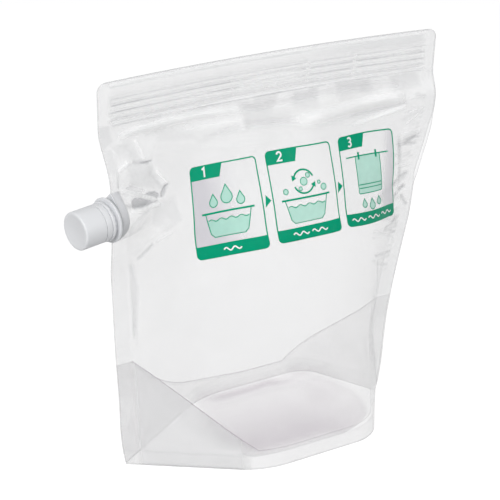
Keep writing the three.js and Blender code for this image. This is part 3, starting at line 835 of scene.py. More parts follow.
def film_wall(name, side):
    s, z = np.meshgrid(stepped(FILM_COLUMNS), stepped(FILM_ROWS))
    t = trimmed(s, z)
    relief, shade, painted_highlight = wall_relief(t, z, side)
    ridges, header_shade, header_highlight = header_relief(t, z)
    points = off_middle(t, z, side * (stand_out(t, z) + relief + ridges))
    side_edge = np.minimum(s, PANEL_WIDTH - s)
    tone = 1.0 if side < 0 else BACK_TONE
    lines = ((RIM_LINE, np.minimum(side_edge, z)), (TOP_LINE, PANEL_HEIGHT - z), (FOOT_WELD, z - BOTTOM_SEAL))
    lines = [dark * tone * bell(distance, half) for (dark, half), distance in lines]
    side_weld = SIDE_WELD * tone * (1 - smoothstep(side_edge, SIDE_SEAL - 3, SIDE_SEAL + 2))
    side_weld = side_weld * smoothstep(z, *SIDE_WELD_RISE) * (1 - smoothstep(z, *SIDE_WELD_END))
    marks = {
        "shade": np.max([shade, header_shade * tone, *lines, side_weld], axis=0),
        "painted_highlight": np.maximum(painted_highlight, header_highlight * tone),
        "haze_and_painted_light": CHEST_HAZE * smoothstep(z, *CHEST) * (1 - smoothstep(z, zip_bottom - 4, zip_bottom)),
    }
    mesh = closed_sheet(name, points, side > 0, np.stack([s, z], axis=-1), marks)
    return show(name, mesh, wall_film)


front_wall = finish_piece(film_wall("front_wall", -1), "bag", "film", "front_panel")
back_wall = finish_piece(film_wall("back_wall", 1), "bag", "film", "back_panel")


# The bottom gusset: folded up in the side seals, opened and hanging down between them
def wing(reach, length, curve=1.0):
    return np.clip(1 - reach / length, 0, 1) ** curve


def hug_height(left, right):
    return between(WING_START, GUSSET_DEPTH, np.maximum(left, right))


def gusset_rise(s, side, hug):
    edge = np.minimum(s, PANEL_WIDTH - s)
    loose = WING_SLACK * smoothstep(edge, SIDE_SEAL, SIDE_SEAL * 2)
    heights = [0 * s + z for z in np.linspace(0, BOTTOM_SEAL, 5)[:-1]]
    heights += [between(BOTTOM_SEAL, hug, 1 - (1 - share) ** 2) for share in np.linspace(0, 1, HUG_ROWS)]
    rise = []
    for z in heights:
        slack = loose * smoothstep(z, BOTTOM_SEAL, WING_START)
        rise.append(np.stack([side * (stand_out(s, z) - layer - slack), z], axis=-1))
    return rise


def hang(start, end, length, folded):
    """Rows of film of this length that hangs between two lines of points (out, z)."""
    span = np.linalg.norm(end - start, axis=-1)
    drop = np.sqrt(span * np.maximum(length - span, 0) * SHALLOW_ARC)
    rise = FOLD_RADIUS * folded - drop
    rows = []
    for turn in np.linspace(0, math.pi, HANG_ROWS + 1)[1:-1]:
        t = (1 - math.cos(turn)) / 2
        z = between(start[:, 1], end[:, 1], t) + rise * 4 * t * (1 - t)
        out = between(start[:, 0], end[:, 0], t)
        rows.append(np.stack([out, soft_max(z, FLOOR_GAP, FLOOR_SOFTNESS)], axis=-1))
    return rows


# Marks of the gusset: painted shade along its creases, on its opened bottom and at a soft bend, painted
# highlights beside them, and haze with painted light on its wings. Shares run along the film, from 0 at its
# front crease to 1 at its back crease.
FRONT_CREASE = (0.9, 0.3)  # painted shade, over the left wing and on the opened bottom
BACK_CREASE = 0.45
CREASE_HALF = 0.9
CREASE_GLINT = (0.5, 2.2, 1.4)  # a painted highlight: share of the crease's shade, how far behind it, half width
FLOOR_SHADE = (0.85, 0.38)  # painted shade of the opened bottom, towards the front and towards the back
FLOOR_LEFT = (116, 98)  # where across it starts, towards the front and towards the back
FLOOR_LEFT_FADE = 26
FLOOR_STARTS = ((0.08, 0.3), (0, 0.15))  # shares over which it rises, at the near side and at the far side
FLOOR_END = (0.86, 1)
FAR_SIDE = (200, 260)
FAR_SHARE = 0.5  # of the shade that is left at the far side, and where the film rises there
FAR_RISE_SHARE = 0.2
FAR_FLOOR_SHADE = 0.16
BACK_BEND = ((142, 200, 235, 270), (0.85, 0.875, 0.83, 0.7))  # a soft bend, shown only by painted shade: places across, and shares
BEND_SHADE = (0.4, 0.1)  # painted shade at its left and at its right
BEND_ENDS = ((120, 150), (255, 280))
BEND_HALF = 3.2
BEND_GLINT = (0.1, 8, 4)  # painted highlight, how far before the bend, half width
# haze with painted light: more opaque film, painted lighter, where the wings cling to the front wall and in
# the bottom seal
WING_HAZE = 0.8
RIGHT_WING_HAZE = 0.2  # as a share of the left wing's
SEAL_HAZE = 0.14


# Painted shade along the two creases, and a painted highlight just behind each
def crease_marks(across, walked, creases, opened):
    on_floor = smoothstep(across, FRONT_LEFT_WING, FRONT_LEFT_WING + SIDE_SEAL * 2)
    share, behind, half = CREASE_GLINT
    shade = 0 * across
    painted_highlight = 0 * across
    for place, dark in zip(creases, (between(*FRONT_CREASE, on_floor), BACK_CREASE)):
        line = dark * bell(walked - place, CREASE_HALF) * between(0.1, 1, opened)
        shade = np.maximum(shade, line)
        painted_highlight = np.maximum(painted_highlight, share * dark * bell(walked - place - behind, half) * opened)
    return shade, painted_highlight


def floor_shades(across, z, ahead, edge):
    """Painted shade of the opened bottom, and what its far side adds to it."""
    inward = smoothstep(edge, SIDE_SEAL, SIDE_SEAL * 4)
    far_side = smoothstep(across, *FAR_SIDE)
    low, high = (between(near, far, far_side) for near, far in zip(*FLOOR_STARTS))
    lying = smoothstep(ahead, low, high) * (1 - smoothstep(ahead, *FLOOR_END)) * inward
    lying = lying * between(1, FAR_SHARE, smoothstep(across, 190, 270))
    start = between(*FLOOR_LEFT, smoothstep(ahead, 0.25, 0.5))
    lying = lying * smoothstep(across, start, start + FLOOR_LEFT_FADE)
    lying = lying * between(1, FAR_RISE_SHARE, smoothstep(z, 10, 22) * far_side)
    far_floor = smoothstep(ahead, 0.4, 0.6) * smoothstep(across, 215, 245) * (1 - smoothstep(z, 9, 16))
    return between(*FLOOR_SHADE, smoothstep(ahead, 0.15, 0.8)) * lying, FAR_FLOOR_SHADE * far_floor * inward


# The wings against the front wall: more opaque, and painted lighter where little light reaches them
def wing_haze(across, ahead, opened):
    left_wing = smoothstep(wing(across - SIDE_SEAL, FRONT_LEFT_WING), 0, 0.2)
    right_wing = smoothstep(wing(PANEL_WIDTH - SIDE_SEAL - across, FRONT_RIGHT_WING), 0, 0.3)
    clinging = np.maximum(left_wing, RIGHT_WING_HAZE * right_wing) * (1 - smoothstep(ahead, -0.02, 0))
    return WING_HAZE * clinging * between(0.4, 1, opened)


def gusset_marks(across, z, walked, creases):
    edge = np.minimum(across, PANEL_WIDTH - across)
    opened = smoothstep(edge, SIDE_SEAL * 0.8, SIDE_SEAL * 1.3)
    way = creases[1] - creases[0]
    ahead = (walked - creases[0]) / way
    shade, painted_highlight = crease_marks(across, walked, creases, opened)
    floor, far_floor = floor_shades(across, z, ahead, edge)
    bend = (ahead - np.interp(across, *BACK_BEND)) * way
    bent = smoothstep(across, *BEND_ENDS[0]) * (1 - smoothstep(across, *BEND_ENDS[1]))
    bend_shade = between(*BEND_SHADE, smoothstep(across, 200, 230)) * bent * bell(bend, BEND_HALF)
    most, before, half = BEND_GLINT
    in_seal = 1 - smoothstep(walked, BOTTOM_SEAL - 2, BOTTOM_SEAL + 2)
    return {
        "shade": np.maximum(shade, floor) + far_floor + bend_shade,
        "painted_highlight": np.maximum(painted_highlight, most * bent * bell(bend + before, half)),
        "haze_and_painted_light": np.maximum(wing_haze(across, ahead, opened), SEAL_HAZE * in_seal),
    }


def bottom_gusset():
    s = np.linspace(0, PANEL_WIDTH, GUSSET_COLUMNS)
    left = s - SIDE_SEAL
    right = PANEL_WIDTH - SIDE_SEAL - s
    front_hug = hug_height(wing(left, FRONT_LEFT_WING), wing(right, FRONT_RIGHT_WING))
    back_hug = hug_height(wing(left, BACK_LEFT_WING, BACK_LEFT_CURVE), wing(right, BACK_RIGHT_WING))
    front = gusset_rise(s, -1, front_hug)
    back = gusset_rise(s, 1, back_hug)
    folded = 1 - smoothstep(np.minimum(s, PANEL_WIDTH - s), SIDE_SEAL, SIDE_SEAL * 2)
    length = 2 * GUSSET_DEPTH - front_hug - back_hug
    rows = front + hang(front[-1], back[-1], length, folded) + back[::-1]
    outline = np.array(rows)
    z = outline[..., 1]
    across = np.broadcast_to(s, z.shape)
    points = off_middle(trimmed(across, z), z, outline[..., 0])
    walked = np.cumsum(np.linalg.norm(np.diff(outline, axis=0, prepend=outline[:1]), axis=-1), axis=0)
    creases = (walked[len(front) - 1], walked[len(rows) - len(back)])
    marks = gusset_marks(across, z, walked, creases)
    mesh = closed_sheet("gusset", points, False, np.stack([across, walked], axis=-1), marks)
    return show("gusset", mesh, gusset_film)


gusset = finish_piece(bottom_gusset(), "bag", "film", "bottom_gusset")


# Swept pieces: a section follows a path
def sweep_tree():
    tree = bpy.data.node_groups.new("swept_piece", "GeometryNodeTree")
    sockets = {}
    tree.interface.new_socket("Geometry", in_out="INPUT", socket_type="NodeSocketGeometry")
    for key, kind in (("Path", "NodeSocketObject"), ("Section", "NodeSocketObject"),
                      ("Finish", "NodeSocketMaterial")):
        sockets[key] = tree.interface.new_socket(key, in_out="INPUT", socket_type=kind).identifier
    tree.interface.new_socket("Geometry", in_out="OUTPUT", socket_type="NodeSocketGeometry")
    given = add(tree, "NodeGroupInput")
    path = add(tree, "GeometryNodeObjectInfo", {"Object": given.outputs["Path"]})
    section = add(tree, "GeometryNodeObjectInfo", {"Object": given.outputs["Section"]})
    upright = add(tree, "GeometryNodeSetCurveNormal", {"Curve": path.outputs["Geometry"]}, mode="Z_UP")
    swept = add(tree, "GeometryNodeCurveToMesh",
                {"Curve": upright.outputs["Curve"], "Profile Curve": section.outputs["Geometry"],
                 "Fill Caps": True})
    whole = add(tree, "GeometryNodeRealizeInstances", {"Geometry": swept.outputs["Mesh"]})
    dressed = add(tree, "GeometryNodeSetMaterial",
                  {"Geometry": whole.outputs["Geometry"], "Material": given.outputs["Finish"]})
    add(tree, "NodeGroupOutput", {"Geometry": dressed.outputs["Geometry"]})
    return tree, sockets


swept_piece, sweep_sockets = sweep_tree()


def line_object(name, points, closed=False):
    curve = bpy.data.curves.new(name, "CURVE")
    curve.dimensions = "3D"
    spline = curve.splines.new("POLY")
    spline.points.add(len(points) - 1)
    for point, place in zip(spline.points, points):
        point.co = (*[c * MM for c in place], 1)
    spline.use_cyclic_u = closed
    return new_object(name, curve)


def swept_mesh(name, path, section, finish):
    path_line = line_object(name + "_path", path)
    section_line = line_object(name + "_section", section, closed=True)
    carrier = new_object(name + "_carrier", bpy.data.meshes.new(name + "_carrier"))
    modifier = carrier.modifiers.new("sweep", "NODES")
    modifier.node_group = swept_piece
    modifier[sweep_sockets["Path"]] = path_line
    modifier[sweep_sockets["Section"]] = section_line
    modifier[sweep_sockets["Finish"]] = finish
    ready = carrier.evaluated_get(bpy.context.evaluated_depsgraph_get())
    mesh = bpy.data.meshes.new_from_object(ready)
    mesh.name = name
    for used in (carrier, path_line, section_line):
        bpy.data.objects.remove(used)
    return mesh


# Press zip
ZIP_STEPS = 90
ZIP_SHARP = 30  # degrees; steeper edges than this stay sharp
tape_inside = ZIP_STACK / 2 - TAPE


def rib_section():
    """Depth and height: the tape's outer face down, then up its inside with the two ribs."""
    half_head = HEAD / 2
    outline = [(-ZIP_STACK / 2, zip_top), (-ZIP_STACK / 2, zip_bottom), (-tape_inside, zip_bottom)]
    for z in sorted(track_heights):
        neck = HEAD_REACH - half_head
        outline += [(-tape_inside, z - STEM / 2), (neck, z - STEM / 2), (neck, z - half_head),
                    (HEAD_REACH, z - STEM / 2), (HEAD_REACH, z + STEM / 2), (neck, z + half_head),
                    (neck, z + STEM / 2), (-tape_inside, z + STEM / 2)]
    return outline + [(-tape_inside, zip_top)]


def channel_section():
    mouth = HEAD_REACH - HEAD / 2 - TRACK_GAP
    pocket = HEAD / 2 + TRACK_GAP
    throat = STEM / 2 + TRACK_GAP
    outline = [(ZIP_STACK / 2, zip_bottom), (ZIP_STACK / 2, zip_top), (tape_inside, zip_top)]
    for z in sorted(track_heights, reverse=True):
        jaw = [(tape_inside, pocket + JAW), (mouth - LIP, pocket + JAW), (mouth - LIP, throat),
               (mouth, throat), (mouth, pocket), (tape_inside, pocket)]
        outline += [(depth, z + rise) for depth, rise in jaw]
        outline += [(depth, z - rise) for depth, rise in reversed(jaw)]
    return outline + [(tape_inside, zip_bottom)]


def zip_tape(name, section):
    s = np.linspace(ZIP_INSET, PANEL_WIDTH - ZIP_INSET, ZIP_STEPS)
    height = (zip_bottom + zip_top) / 2
    path = off_middle(s, 0 * s + height, 0 * s)
    across = [(-depth, height - z, 0) for depth, z in section]
    mesh = swept_mesh(name, path.tolist(), across, zip_plastic)
    return show(name, sharp_edges(merged(mesh), ZIP_SHARP), zip_plastic)


finish_piece(zip_tape("rib_tape", rib_section()), "bag", "zip", "front_zip_tape")
finish_piece(zip_tape("channel_tape", channel_section()), "bag", "zip", "back_zip_tape")

# Spout, band and cap: local Z runs out of the pouch along the spout's axis, local Y is up
band_start = BEAD_START + BEAD_WIDTH + FIT
cap_start = band_start + BAND_WIDTH + FIT
cap_crown = cap_start + CAP_LENGTH
cap_ceiling = cap_crown - CAP_TOP
neck_top = cap_ceiling - FIT - GASKET - FIT
spout_axis = Vector((-math.cos(SPOUT_YAW), -math.sin(SPOUT_YAW), 0))
spout_side = Vector((0, 0, 1)).cross(spout_axis)


def spout_place():
    edge = np.array([0.0])
    start = off_middle(edge, edge + spout_height, edge)[0] * MM
    place = Matrix((spout_side, (0, 0, 1), spout_axis)).transposed().to_4x4()
    place.translation = Vector(start)
    return place


on_spout = spout_place()
MOULD_EDGE = 0.5
MOULD_SHARP = 40  # degrees
CORNER_STEPS = 4
CORNER_SHARE = 0.45  # of a side that a rounded corner may take up
THREAD_DEPTH = 1.1
THREAD_PITCH = 4.0
THREAD_TURNS = 2.5
THREAD_MARGIN = 2.0
THREAD_SUNK = 0.3
THREAD_FOOT = 1.3
THREAD_CREST = 0.4
BASE_EDGE = 0.8
CAP_DISH = 0.35  # the end face is this much lower inside its rim
CAP_SLOPE = 0.8
CAP_RIM = 2.2
CAP_BEVEL = 0.3
CAP_EDGE_STEPS = 9


def rounded(outline):
    """The closed outline with each corner rounded off."""
    points = []
    for i, corner in enumerate(outline):
        corner = Vector(corner)
        before = Vector(outline[i - 1]) - corner
        after = Vector(outline[(i + 1) % len(outline)]) - corner
        reach = min(MOULD_EDGE, before.length * CORNER_SHARE, after.length * CORNER_SHARE)
        a = corner + before.normalized() * reach
        b = corner + after.normalized() * reach
        for t in np.linspace(0, 1, CORNER_STEPS + 1):
            points.append(tuple((1 - t) ** 2 * a + 2 * t * (1 - t) * corner + t * t * b))
    return points


def neck_parts():
    barrel = NECK / 2 - THREAD_DEPTH
    outline = [
        (BORE / 2, -BASE_DEPTH + WELD_GAP), (NECK_ROOT / 2, -BASE_DEPTH + WELD_GAP),
        (NECK_ROOT / 2, FLANGE_START), (FLANGE / 2, FLANGE_START),
        (FLANGE / 2, FLANGE_START + FLANGE_WIDTH), (NECK_ROOT / 2, FLANGE_START + FLANGE_WIDTH),
        (NECK_ROOT / 2, BEAD_START), (BEAD / 2, BEAD_START),
        (BEAD / 2, BEAD_START + BEAD_WIDTH), (barrel, BEAD_START + BEAD_WIDTH),
        (barrel, neck_top), (BORE / 2, neck_top),
    ]
    return turned(rounded(outline))


def base_parts():
    """Boat-shaped weld base, open for the bore."""
    turns = np.linspace(0, 2 * math.pi, ROUND_STEPS, endpoint=False)
    rise = base_half * np.sin(turns)
    side = np.sign(np.cos(turns)) * base_half_thickness(rise)
    hole = BORE / 2 + TINY
    rings = []
    for w, inset in ((-BASE_DEPTH, BASE_EDGE), (BASE_EDGE - BASE_DEPTH, 0), (-BASE_EDGE, 0), (0, BASE_EDGE)):
        share = 1 - inset / base_half
        rings.append(np.stack([side * share, rise * share, 0 * turns + w], axis=-1))
    for w in (0, -BASE_DEPTH):
        rings.append(np.stack([hole * np.cos(turns), hole * np.sin(turns), 0 * turns + w], axis=-1))
    return np.concatenate(rings).tolist(), closed_grid(len(rings), ROUND_STEPS)


def neck_thread():
    turns = np.linspace(0, THREAD_TURNS * 2 * math.pi, int(THREAD_TURNS * ROUND_STEPS / 2))
    start = neck_top - THREAD_PITCH * THREAD_TURNS - THREAD_MARGIN
    radius = NECK / 2 - THREAD_DEPTH
    path = []
    for t in turns:
        path.append((radius * math.cos(t), radius * math.sin(t), start + THREAD_PITCH * t / (2 * math.pi)))
    section = [(-THREAD_SUNK, -THREAD_FOOT, 0), (THREAD_DEPTH, -THREAD_CREST, 0),
               (THREAD_DEPTH, THREAD_CREST, 0), (-THREAD_SUNK, THREAD_FOOT, 0)]
    return swept_mesh("neck_thread", path, section, satin_moulding)


def placed(name, mesh):
    mesh.transform(on_spout)
    return show(name, sharp_edges(mesh, MOULD_SHARP), satin_moulding)


def spout_moulding():
    mesh = joined("spout_moulding", [neck_parts(), base_parts()])
    work = bmesh.new()
    work.from_mesh(mesh)
    work.from_mesh(neck_thread())
    work.to_mesh(mesh)
    work.free()
    return placed("spout_moulding", all_smooth(mesh))


def tamper_ring():
    inner = NECK / 2 + FIT
    outline = [(inner, band_start), (CAP / 2, band_start), (CAP / 2, band_start + BAND_WIDTH),
               (inner, band_start + BAND_WIDTH)]
    return placed("tamper_ring", joined("tamper_ring", [turned(rounded(outline))]))


def screw_cap():
    inner = NECK / 2 + FIT
    edge = []
    for turn in np.linspace(0, math.pi / 2, CAP_EDGE_STEPS):
        edge.append((CAP / 2 - CAP_EDGE * (1 - math.cos(turn)), cap_crown - CAP_EDGE * (1 - math.sin(turn))))
    rim = CAP / 2 - CAP_EDGE - CAP_RIM
    outline = [(0, cap_ceiling), (inner, cap_ceiling), (inner, cap_start), (CAP / 2 - CAP_BEVEL, cap_start),
               (CAP / 2, cap_start + CAP_BEVEL), *edge, (rim + CAP_SLOPE, cap_crown),
               (rim, cap_crown - CAP_DISH), (0, cap_crown - CAP_DISH)]
    return placed("screw_cap", joined("screw_cap", [turned(outline)]))


finish_piece(spout_moulding(), "bag", "moulding", "spout")
finish_piece(tamper_ring(), "bag", "moulding", "tamper_band")
finish_piece(screw_cap(), "cap", "moulding", "cap")
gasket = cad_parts["cap_gasket"]
gasket.data.materials.clear()
gasket.data.materials.append(foam_lining)


# Print on the front wall: shapes in panel millimetres, then laid on the film
PANEL_SIZE = (62.0, 76.0)
PANEL_CORNERS = (  # film places of the lower left, lower right, upper left and upper right corner
    ((77.5, 212.0), (143.5, 219.0), (76.5, 292.5), (138.0, 295.0)),
    ((152.0, 220.5), (219.0, 218.0), (147.0, 296.0), (213.0, 295.0)),
    ((226.5, 218.0), (308.0, 200.0), (222.5, 295.0), (286.5, 291.5)),
)
ARROWS = (  # film places
    ((143.3, 262.5), (142.5, 252.5), (148.3, 257.5)),
    ((218.5, 260.0), (217.7, 250.5), (224.0, 255.0)),
)
FRAME_LINE = 1.1
FRAME_CORNER = 4.0
TAB_HEIGHT = 11.2
TAB_LENGTH = 30.5
TAB_SLANT = 3.6
NUMERAL_PLACE = (10.5, 9.4)  # from the left, and down from the top
NUMERAL_LINE = 1.5
BAND_HEIGHT = 11.2
CAPTION_PITCH = 18.0
CAPTION_MARGIN = 1.5
CAPTION_WAVE = (1.3, 7.5)
CAPTION_LINE = 1.2
OUTLINE = 0.75
CORNER_POINTS = 7
MITRE = 0.5  # a line's corner is at most this sharp
PRINT_STEP = 4.0  # the ink is cut this fine so that it follows the film
INK_LIFT = 0.14
INK_LAYER = 0.06
INK_GRAIN = 160.0
INK_ROUGHNESS = (0.25, 0.4)
INK_GLOSS = 0.05
INK_TONES = (0.93, 1.07)  # times its colour, where it lies thin and where it lies thick
INK_THINNER = 0.01
# The printed fields behind the drawings: grey painted shade towards the pouch's sides and white painted light
# in their middle
FIELD_GREY = (0.52, 0.50, 0.57)
FIELD_WHITE = (0.97, 0.97, 0.98)
FIELD_COVER = (0.49, 0.1)  # of its grey and of its white


def arc(x, y, radius, start, end, steps):
    turns = np.radians(np.linspace(start, end, steps))
    return [(x + radius * math.cos(t), y + radius * math.sin(t)) for t in turns]


def quarter(x, y, radius, start):
    return arc(x, y, radius, start, start + 90, CORNER_POINTS)


def rounded_box(x0, y0, x1, y1, r):
    return (quarter(x1 - r, y0 + r, r, -90) + quarter(x1 - r, y1 - r, r, 0)
            + quarter(x0 + r, y1 - r, r, 90) + quarter(x0 + r, y0 + r, r, 180))


def stroke(points, width, closed=False):
    """A line of this width as a row of four-sided faces."""
    line = np.array(points, dtype=float)
    if closed:
        before = np.roll(line, 1, axis=0)
        after = np.roll(line, -1, axis=0)
    else:
        before = np.vstack([2 * line[0] - line[1], line[:-1]])
        after = np.vstack([line[1:], 2 * line[-1] - line[-2]])
    way_in = line - before
    way_out = after - line
    way_in = way_in / np.linalg.norm(way_in, axis=1, keepdims=True)
    way_out = way_out / np.linalg.norm(way_out, axis=1, keepdims=True)
    square = np.stack([-(way_in + way_out)[:, 1], (way_in + way_out)[:, 0]], axis=1)
    square = square / np.linalg.norm(square, axis=1, keepdims=True)
    across = np.abs(square[:, 1] * way_in[:, 0] - square[:, 0] * way_in[:, 1])
    reach = width / 2 / np.maximum(across, MITRE)
    left = line + square * reach[:, None]
    right = line - square * reach[:, None]
    count = len(line)
    ends = range(count if closed else count - 1)
    return [[right[i], right[(i + 1) % count], left[(i + 1) % count], left[i]] for i in ends]


def drop_outline(x, y, size):
    return arc(x, y, size / 2, -205, 25, 18) + [(x, y + size)]


def wave(x0, x1, y, height, length):
    xs = np.linspace(x0, x1, max(9, int((x1 - x0) / length * 12)))
    return [(x, y + height * math.sin((x - x0) / length * 2 * math.pi)) for x in xs]


def basin(y):
    rim = [(8, y + 20), (54, y + 20)]
    side = [(11, y + 20), (15, y + 3), (18, y), (44, y), (47, y + 3), (51, y + 20)]
    water = [(12.2, y + 14), (15.4, y + 3.4), (18.2, y + 0.6),
             (43.8, y + 0.6), (46.6, y + 3.4), (49.8, y + 14)]
    ripples = wave(13.5, 48.5, y + 14, 0.9, 8.75)
    return stroke(rim, 1.6) + stroke(side, OUTLINE) + stroke(ripples, OUTLINE), [water]


def drops(places):
    line = []
    tint = []
    for x, y, size in places:
        line += stroke(drop_outline(x, y, size), OUTLINE, closed=True)
        tint.append(drop_outline(x, y, size))
    return line, tint


def soak_motif():
    tub, water = basin(17)
    line, tint = drops(((19, 45, 7), (31, 48, 10), (43, 44, 7)))
    return line + tub, tint + water


BUBBLES = (  # middle and radius
    (31, 48, 3.2), (27, 42.5, 1.6), (35.5, 52.5, 1.9), (13, 42, 2.2), (49, 41, 2.6), (45, 45.5, 1.4),
)
BUBBLE_LINE = 0.8  # as a share of the other outlines
TURN_TIP = (2.6, 4.2)  # half width and length of the turning arrows' tips


def swirl_motif():
    line, tint = basin(15)
    half, length = TURN_TIP
    for start in (20, 200):
        ring = arc(31, 48, 9.5, start, start + 130, 20)
        tip = np.array(ring[-1])
        way = tip - np.array(ring[-2])
        way = way / np.linalg.norm(way)
        square = np.array([-way[1], way[0]])
        line += stroke(ring, 1.5)
        line.append([tip - square * half, tip + way * length, tip + square * half])
    for x, y, radius in BUBBLES:
        ring = arc(x, y, radius, 0, 360, 19)[:-1]
        line += stroke(ring, OUTLINE * BUBBLE_LINE, closed=True)
        tint.append(ring)
    return line, tint


def towel_motif():
    line = stroke([(7, 58), (55, 58)], 1.0)
    cloth = rounded_box(17, 27, 45, 58, 1.5)
    line += stroke(cloth, OUTLINE, closed=True)
    for y in (31.5, 34.5):
        line += stroke([(17.6, y), (44.4, y)], OUTLINE)
    for x in (21, 41):
        line += stroke([(x, 55), (x, 61)], 2.0)
    falling, tint = drops(((22, 17.5, 5), (31, 15.5, 6.5), (40, 17.5, 5)))
    return line + falling, tint + [cloth]


NUMERALS = (  # strokes in a box 5 wide and 7.6 high
    [[(1.0, 6.0), (3.0, 7.3), (3.0, 0)]],
    [arc(2.5, 5.3, 2.0, 170, -35, 12) + [(0.4, 0.5), (5.0, 0.5)]],
    [arc(2.3, 5.6, 1.75, 150, -90, 12) + arc(2.3, 2.1, 1.85, 90, -150, 12)[1:]],
)


def panel_shapes(number):
    width, height = PANEL_SIZE
    half = FRAME_LINE / 2
    box = rounded_box(half, half, width - half, height - half, FRAME_CORNER - half)
    tab = [(TAB_LENGTH - TAB_SLANT, height - TAB_HEIGHT), (TAB_LENGTH, height)]
    tab += quarter(FRAME_CORNER, height - FRAME_CORNER, FRAME_CORNER, 90) + [(0, height - TAB_HEIGHT)]
    band = quarter(FRAME_CORNER, FRAME_CORNER, FRAME_CORNER, 180)
    band += quarter(width - FRAME_CORNER, FRAME_CORNER, FRAME_CORNER, -90)
    band += [(width, BAND_HEIGHT), (0, BAND_HEIGHT)]
    line, tint = (soak_motif, swirl_motif, towel_motif)[number]()
    mark_left, mark_drop = NUMERAL_PLACE
    marks = []
    for numeral in NUMERALS[number]:
        marks += stroke([(x + mark_left, y + height - mark_drop) for x, y in numeral], NUMERAL_LINE)
    for k in range(number + 1):
        start = width / 2 - CAPTION_PITCH / 2 * (number + 1) + CAPTION_PITCH * k
        end = start + CAPTION_PITCH - CAPTION_MARGIN
        marks += stroke(wave(start + CAPTION_MARGIN, end, BAND_HEIGHT / 2, *CAPTION_WAVE), CAPTION_LINE)
    frame_line = stroke(box, FRAME_LINE, closed=True)
    return {"field": [box], "green": frame_line + [tab, band] + line, "tint": tint, "white": marks}


FIELD_PAINTED_LIGHT = (  # painted lightness at a panel's left and right, the lean of the change and where across it starts and ends
    (0.0, 0.8, 0.25, 0.3, 1.0),
    (0.8, 1.0, 0.0, 0.1, 0.7),
    (1.0, 0.15, -0.2, 0.54, 0.81),
)


def painted_field_light(number, points):
    """How light the printed field behind a drawing is painted: grey painted shade towards the pouch's sides,
    white painted light in its middle.
    """
    across = points[:, 0] / PANEL_SIZE[0]
    up = points[:, 1] / PANEL_SIZE[1]
    left, right, lean, start, end = FIELD_PAINTED_LIGHT[number]
    return between(left, right, smoothstep(across + lean * up, start, end))


def on_panel(corners, points):
    low_left, low_right, up_left, up_right = (np.array(c) for c in corners)
    across = points[:, :1] / PANEL_SIZE[0]
    up = points[:, 1:] / PANEL_SIZE[1]
    return between(between(low_left, low_right, across), between(up_left, up_right, across), up)


def cut_flat(shapes):
    """Flat shapes as a mesh, cut into small faces."""
    work = bmesh.new()
    for shape in shapes:
        corners = [work.verts.new((*point, 0)) for point in shape]
        work.faces.new(corners)
    bmesh.ops.triangulate(work, faces=work.faces)
    low = np.min([v.co for v in work.verts], axis=0)
    high = np.max([v.co for v in work.verts], axis=0)
    for axis in (0, 1):
        for place in np.arange(low[axis] + PRINT_STEP / 2, high[axis], PRINT_STEP):
            plane = Vector((0, 0, 0))
            plane[axis] = 1
            everything = work.verts[:] + work.edges[:] + work.faces[:]
            bmesh.ops.bisect_plane(work, geom=everything, plane_co=plane * place, plane_no=plane)
    points = np.array([v.co[:2] for v in work.verts])
    work.verts.index_update()
    faces = [[v.index for v in face.verts] for face in work.faces]
    work.free()
    return points, faces


def ink_mesh(name, sheets, lift):
    """One ink: the sheets are (film places, faces) and lie on the front wall's outer face."""
    laid = []
    for places, faces in sheets:
        laid.append((wall_point(places[:, 0], places[:, 1], -1, FILM / 2 + lift), faces))
    mesh = plain_mesh(name, *stacked(laid))
    work = bmesh.new()
    work.from_mesh(mesh)
    for face in work.faces:
        face.normal_update()
        if face.normal.y > 0:
            face.normal_flip()
    work.to_mesh(mesh)
    work.free()
    return mesh


def new_ink(name):
    material, tree, shader = new_material(name)
    patch = noise(tree, object_place(tree), INK_GRAIN, 3.0)
    plug(tree, shader, {"Roughness": ranged(tree, patch, *INK_ROUGHNESS), "Specular IOR Level": INK_GLOSS})
    return material, tree, shader, patch


def ink(name, colour, cover):
    """Printing ink with slightly uneven coverage."""
    material, tree, shader, patch = new_ink(name)
    thin, thick = ([min(c * times, 1) for c in colour] for times in INK_TONES)
    plug(tree, shader, {
        "Base Color": mixed(tree, patch, thin, thick),
        "Alpha": ranged(tree, patch, cover - INK_THINNER, cover),
    })
    return material


def field_ink():
    """Pale see-through printed ink of the fields behind the drawings, with painted shade and painted light
    from its tone.
    """
    material, tree, shader, _ = new_ink("field_ink")
    tone = mark(tree, "tone")
    plug(tree, shader, {
        "Base Color": mixed(tree, tone, FIELD_GREY, FIELD_WHITE),
        "Alpha": ranged(tree, tone, *FIELD_COVER),
    })
    return material


INKS = (
    ("field", "print_field", field_ink()),
    ("tint", "print_tint", ink("tint_ink", (0.42, 0.82, 0.68), 0.7)),
    ("green", "print_green", ink("green_ink", (0.001, 0.335, 0.18), 1.0)),
    ("white", "print_white", ink("white_ink", (0.95, 0.96, 0.96), 0.98)),
)


def lay_print():
    panels = [panel_shapes(number) for number in range(len(PANEL_CORNERS))]
    for order, (key, name, finish) in enumerate(INKS):
        sheets = []
        tones = []
        for number, corners in enumerate(PANEL_CORNERS):
            points, faces = cut_flat(panels[number][key])
            sheets.append((on_panel(corners, points), faces))
            tones.append(painted_field_light(number, points))
        if key == "green":
            sheets.append(cut_flat(ARROWS))
        mesh = ink_mesh(name, sheets, INK_LIFT + INK_LAYER * order)
        if key == "field":
            mesh.attributes.new("tone", "FLOAT", "POINT").data.foreach_set("value", np.concatenate(tones))
        piece = show(name, mesh, finish)
        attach(piece, "bag")


lay_print()


